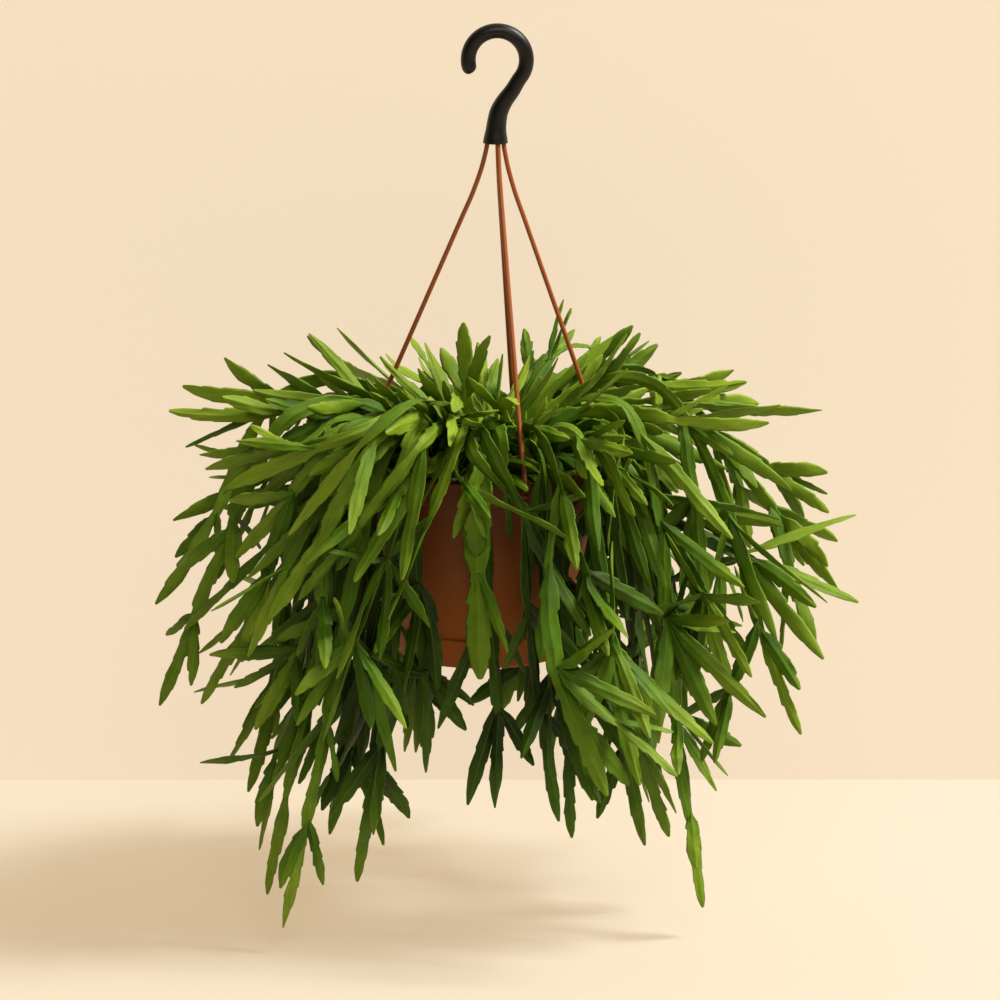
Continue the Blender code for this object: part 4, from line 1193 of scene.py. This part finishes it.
def add_shoots(plants, space):
    """Side branches of one segment from the joints of every plant, where they are clear of all the rest."""
    rng = np.random.default_rng(SHOOT_SEED)
    sites = []
    for plant in plants:
        for chain in plant["chains"]:
            marks = np.arange(1.0, chain["segments"])
            if len(marks):
                away = np.linalg.norm(chain_frame(chain, marks)[0] - plant["root"], axis=1)
                sites += [(plant, chain, mark) for mark in marks[away > SHOOT_AWAY]]
    for _ in range(SHOOT_ROUNDS):
        for k in rng.permutation(len(sites)):
            plant, chain, mark = sites[k]
            wide = SEGMENT_WIDE * rng.uniform(*SHOOT_WIDTHS)
            route = shoot_route(chain, mark - rng.uniform(0, 0.1), rng, rng.uniform(*SHOOT_LENGTHS) * MM)
            azimuth = math.degrees(math.atan2(route[-1][1], route[-1][0] - POT_X))
            shoot = make_chain(route, azimuth, wide, rng, FORK_NECK)
            if space.place_chain(plant["number"], shoot, SHOOT_CLEAR, SHOOT_APART):
                plant["shoots"].append(shoot)


def make_stems(skin):
    """One piece for each stem node: its trunk, its chains and its side shoots."""
    space = Clearance()
    solids = ["pot", "saucer", "hook"] + ["rod_" + name for name in ROD_AZIMUTHS]
    plants = grow_plants([*map(node_block, solids), soil_block()], space)
    space.limits = np.array(cad_box[0]) + MM, np.array(cad_box[1]) - MM
    grow_extra(plants, space)
    for plant in plants:
        plant["shoots"] = []
    add_shoots(plants, space)
    for number, plant in enumerate(plants):
        rng = np.random.default_rng(TRUNK_SEED + number)
        shells = [trunk_shell(plant["root"], rng)]
        fresh = FRESHNESS[plant["kind"]]
        # The third value is how much painted shade darkens the skin where the crown and the pot shade it
        youth_and_shade = (fresh * 0.6, fresh + 0.45, SHADE.get(plant["kind"], MOST_SHADE))
        for rank, chain in enumerate(plant["chains"] + plant["shoots"]):
            shells.append(outward_faces(blade_shell(chain, number, rank, youth_and_shade)))
        name = f"stem_{number + 1:02d}"
        add_piece(name + "_leaves", join_shells(shells), skin, (name,))


# Materials


def colour(code):
    """An sRGB hex colour in linear values: c / 12.92 up to 0.04045, ((c + 0.055) / 1.055) ^ 2.4 above it."""
    parts = [int(code[k:k + 2], 16) / 255 for k in (1, 3, 5)]
    return (*(c / 12.92 if c <= 0.04045 else ((c + 0.055) / 1.055) ** 2.4 for c in parts), 1)


def set_inputs(tree, node, inputs):
    """Give each named input of a node a value, or a link from the output that feeds it."""
    for key, value in inputs.items():
        if isinstance(value, bpy.types.NodeSocket):
            tree.links.new(value, node.inputs[key])
        else:
            node.inputs[key].default_value = value


def add_node(tree, kind, inputs=None, **settings):
    """Add a node with its settings and its inputs."""
    made = tree.nodes.new("ShaderNode" + kind)
    for name, value in settings.items():
        setattr(made, name, value)
    set_inputs(tree, made, inputs or {})
    return made


def noise(tree, place, scale, detail, roughness=0.5):
    """Cloudy noise, with clouds about 1 / scale wide."""
    return add_node(tree, "TexNoise", {"Vector": place, "Scale": scale, "Detail": detail,
                                       "Roughness": roughness}).outputs["Fac"]


def remap(tree, value, old, new=(0, 1), ease="LINEAR"):
    """A value carried from the old span to the new one, and held at its ends."""
    spans = {"From Min": old[0], "From Max": old[1], "To Min": new[0], "To Max": new[1]}
    return add_node(tree, "MapRange", {"Value": value, **spans}, interpolation_type=ease).outputs[0]


def blend(tree, share, low, high):
    """The low colour changed to the high one by a share. Each is a hex code or an output."""
    low, high = (colour(tint) if isinstance(tint, str) else tint for tint in (low, high))
    return add_node(tree, "Mix", {0: share, 6: low, 7: high}, data_type="RGBA").outputs[2]


def reckon(tree, operation, *values):
    """An operation on numbers and outputs, taken in their order."""
    return add_node(tree, "Math", dict(enumerate(values)), operation=operation).outputs[0]


def new_material(name):
    """An empty node material with its shader, whose tree the caller fills."""
    made = bpy.data.materials.new(name)
    made.use_nodes = True
    return made, made.node_tree, made.node_tree.nodes["Principled BSDF"]


def waxy_stem_skin():
    """Waxy epidermis of a leafy cactus stem: firm, faintly glossy, with fine lengthwise lines."""
    made, tree, shader = new_material("waxy cactus epidermis")
    grain = add_node(tree, "Attribute", attribute_name="grain").outputs["Vector"]
    tone = add_node(tree, "Attribute", attribute_name="tone").outputs["Vector"]
    parts = add_node(tree, "SeparateXYZ", {"Vector": tone}).outputs
    # Clouds of 14 mm shift each segment between its darker and its younger green; the darker green also carries
    # painted shade
    cloud = noise(tree, grain, 1 / 14, 3.0)
    age_and_shade = reckon(tree, "MULTIPLY_ADD", parts["X"], 0.5, -0.25)
    age_and_shade = reckon(tree, "ADD", age_and_shade, parts["Y"])
    age_and_shade = reckon(tree, "MULTIPLY_ADD", cloud, 0.5, age_and_shade)
    # The darkest green is mostly painted shade, reached by blades deep under the crown and beside the pot
    green = blend(tree, remap(tree, age_and_shade, (-0.3, 0.5)), "#192c00", "#416202")
    green = blend(tree, remap(tree, age_and_shade, (0.5, 1.2)), green, "#758e1c")
    # Fine lines along the blade, 0.5 mm apart and 12 mm long, drawn a little coarser than the real ones
    streak = add_node(tree, "Mapping", {"Vector": grain, "Scale": (2.0, 0.085, 1.0)}).outputs[0]
    lines = noise(tree, streak, 1.0, 2.0)
    light = remap(tree, lines, (0.3, 0.7), (0.82, 1.16))
    green = add_node(tree, "VectorMath", {0: green, "Scale": light}, operation="SCALE").outputs[0]
    # A paler mid-rib, and a paler margin that is partly a drier edge and partly a painted highlight along the
    # edges
    rib = remap(tree, parts["Z"], (0.02, 0.16), (0.16, 0), "SMOOTHSTEP")
    margin = remap(tree, parts["Z"], (0.86, 0.99), (0, 0.35), "SMOOTHSTEP")
    green = blend(tree, reckon(tree, "MAXIMUM", rib, margin), green, "#6c8c26")
    speck = noise(tree, grain, 0.9, 2.0)
    rough = remap(tree, speck, (0, 1), (0.48, 0.66))
    relief = reckon(tree, "MULTIPLY_ADD", lines, 0.6, speck)
    bump = add_node(tree, "Bump", {"Height": relief, "Strength": 0.45, "Distance": 0.25 * MM}).outputs[0]
    set_inputs(tree, shader, {"Base Color": green, "Roughness": rough, "Normal": bump, "IOR": 1.4,
                              "Specular IOR Level": 0.25})
    return made


def moulded_plastic(name, low, high, roughness, worn, lower_painted_light=None):
    """Moulded polypropylene: an even colour with clouds of 30 mm, a faint 1 mm grain and paler worn places.

    A pot's lower part, which its leaves shade least, is painted lighter: painted shade darkens it near the rim
    and painted light eases in from 25 to 110 mm below the rim.
    """
    made, tree, shader = new_material(name)
    place = add_node(tree, "TexCoord").outputs["Object"]
    body = blend(tree, noise(tree, place, 1 / 0.03, 4.0), low, high)
    if lower_painted_light:
        # Painted light and shade: darker near the rim under the leaves, lighter lower down
        height = add_node(tree, "SeparateXYZ", {"Vector": place}).outputs["Z"]
        painted_light_share = remap(tree, height, (RIM_Z - 25 * MM, RIM_Z - 110 * MM), (0, 0.85), "SMOOTHSTEP")
        body = blend(tree, painted_light_share, body, lower_painted_light)
    fine = noise(tree, place, 1 / 0.001, 2.0)
    spots = noise(tree, place, 1 / 0.009, 6.0, 0.7)
    body = blend(tree, remap(tree, spots, (0.56, 0.8), (0, 0.35)), body, worn)
    rough = remap(tree, spots, (0.3, 0.7), (roughness - 0.07, roughness + 0.1))
    bump = add_node(tree, "Bump", {"Height": fine, "Strength": 0.25, "Distance": 0.2 * MM}).outputs[0]
    set_inputs(tree, shader, {"Base Color": body, "Roughness": rough, "Normal": bump,
                              "Specular IOR Level": 0.3})
    return made


def peat_soil(name, low, high, crumb):
    """Peat and bark: dark, quite dry and crumbly, with a relief of its own crumbs and no gloss."""
    made, tree, shader = new_material(name)
    place = add_node(tree, "TexCoord").outputs["Object"]
    grit = noise(tree, place, 1 / crumb, 6.0, 0.75)
    body = blend(tree, grit, low, high)
    bump = add_node(tree, "Bump", {"Height": grit, "Strength": 0.9, "Distance": 1.2 * MM}).outputs[0]
    set_inputs(tree, shader, {"Base Color": body, "Roughness": 0.95, "Normal": bump})
    return made


# Room, light and camera


def pale_paint(name, base, light, glow):
    """Matt pale paint with an even glow, seen from its front only: a camera behind it looks through."""
    made, tree, shader = new_material(name)
    set_inputs(tree, shader, {"Base Color": colour(base), "Roughness": 0.9, "Specular IOR Level": 0.1,
                              "Emission Color": colour(light), "Emission Strength": glow})
    back = add_node(tree, "NewGeometry").outputs["Backfacing"]
    clear = add_node(tree, "BsdfTransparent").outputs[0]
    one_sided = add_node(tree, "MixShader", {0: back, 1: shader.outputs[0], 2: clear}).outputs[0]
    tree.links.new(one_sided, tree.nodes["Material Output"].inputs["Surface"])
    return made


def make_room():
    """A pale floor just under the lowest stems and a pale wall, each seen from the plant's side only."""
    left, right = -ROOM_SIDE, ROOM_SIDE
    corner = [(right, WALL_Y, FLOOR_Z), (left, WALL_Y, FLOOR_Z)]
    floor = [(left, -ROOM_SIDE, FLOOR_Z), (right, -ROOM_SIDE, FLOOR_Z), *corner]
    wall = [*corner[::-1], (right, WALL_Y, WALL_TOP), (left, WALL_Y, WALL_TOP)]
    for name, corners, paint in (("floor", floor, pale_paint("floor paint", "#898a84", "#ffdeb2", 0.515)),
                                 ("wall", wall, pale_paint("wall paint", "#8f887b", "#fce6c8", 0.695))):
        mesh = bpy.data.meshes.new(name)
        mesh.from_pydata(corners, [], [(0, 1, 2, 3)])
        mesh.materials.append(paint)
        add_object(name, mesh)


def add_lamp(name, place, size, power, tint):
    """A square area light at a place, turned to shine at the plant's middle."""
    lamp = bpy.data.lights.new(name, "AREA")
    lamp.size = size
    lamp.energy = power
    lamp.color = colour(tint)[:3]
    item = add_object(name, lamp)
    item.location = place
    item.rotation_euler = (Vector(PLANT_MIDDLE) - Vector(place)).to_track_quat("-Z", "Y").to_euler()


def make_light_and_camera():
    """Soft daylight from the right above, a broad weak fill from the front, and the camera."""
    world = bpy.data.worlds.new("room light")
    world.use_nodes = True
    tree = world.node_tree
    tree.nodes.remove(tree.nodes["Background"])
    dim = add_node(tree, "Background", {"Color": colour("#fff0dc"), "Strength": 0.08}).outputs[0]
    shown = add_node(tree, "Background", {"Color": colour("#f7e8cf"), "Strength": 0.95}).outputs[0]
    seen = add_node(tree, "LightPath").outputs["Is Camera Ray"]
    mixed = add_node(tree, "MixShader", {0: seen, 1: dim, 2: shown}).outputs[0]
    tree.links.new(mixed, tree.nodes["World Output"].inputs["Surface"])
    bpy.context.scene.world = world
    for lamp in LAMPS:
        add_lamp(*lamp)
    view = bpy.data.cameras.new("camera")
    view.lens = LENS
    view.sensor_width = SENSOR
    eye = add_object("camera", view)
    eye.location = EYE
    eye.rotation_euler = (math.radians(EYE_TILT), 0, 0)
    bpy.context.scene.camera = eye
    bpy.context.scene.view_settings.view_transform = "Standard"


def main():
    """Dress every solid: the turned pieces, the hook, the rods, the soil, and the stems from their growth."""
    make_light_and_camera()
    make_room()
    rng = np.random.default_rng(SOIL_SEED)
    # The pot's last colour is painted light for its lower part, which the leaves shade least
    terracotta = moulded_plastic("matte terracotta polypropylene", "#5a2900", "#653102", 0.56, "#874816",
                                 "#9d5513")
    rod_plastic = moulded_plastic("terracotta rod polypropylene", "#84431a", "#955122", 0.4, "#ab6c3c")
    black = moulded_plastic("black moulded polypropylene", "#080703", "#0d0c06", 0.38, "#17160e")
    peat = peat_soil("crumbly peat", "#1d130c", "#4a3221", 2.5 * MM)
    bark = peat_soil("bark chips", "#3a2616", "#7b5836", 1.5 * MM)
    ears = [ear_shell(turn) for turn in ROD_AZIMUTHS.values()]
    add_piece("pot_shell", join_shells([pot_shell(), *ears]), terracotta, ("pot",))
    add_piece("saucer_shell", saucer_shell(), terracotta, ("saucer",))
    add_piece("hook_shell", hook_shell(), black, ("hook",))
    for name, turn in ROD_AZIMUTHS.items():
        add_piece(f"rod_{name}_shell", rod_shell(turn), rod_plastic, ("rod_" + name,))
    add_piece("soil_surface", soil_shell(rng), peat, ("soil",))
    add_piece("bark_chips", chip_shells(rng), bark)
    make_stems(waxy_stem_skin())


main()
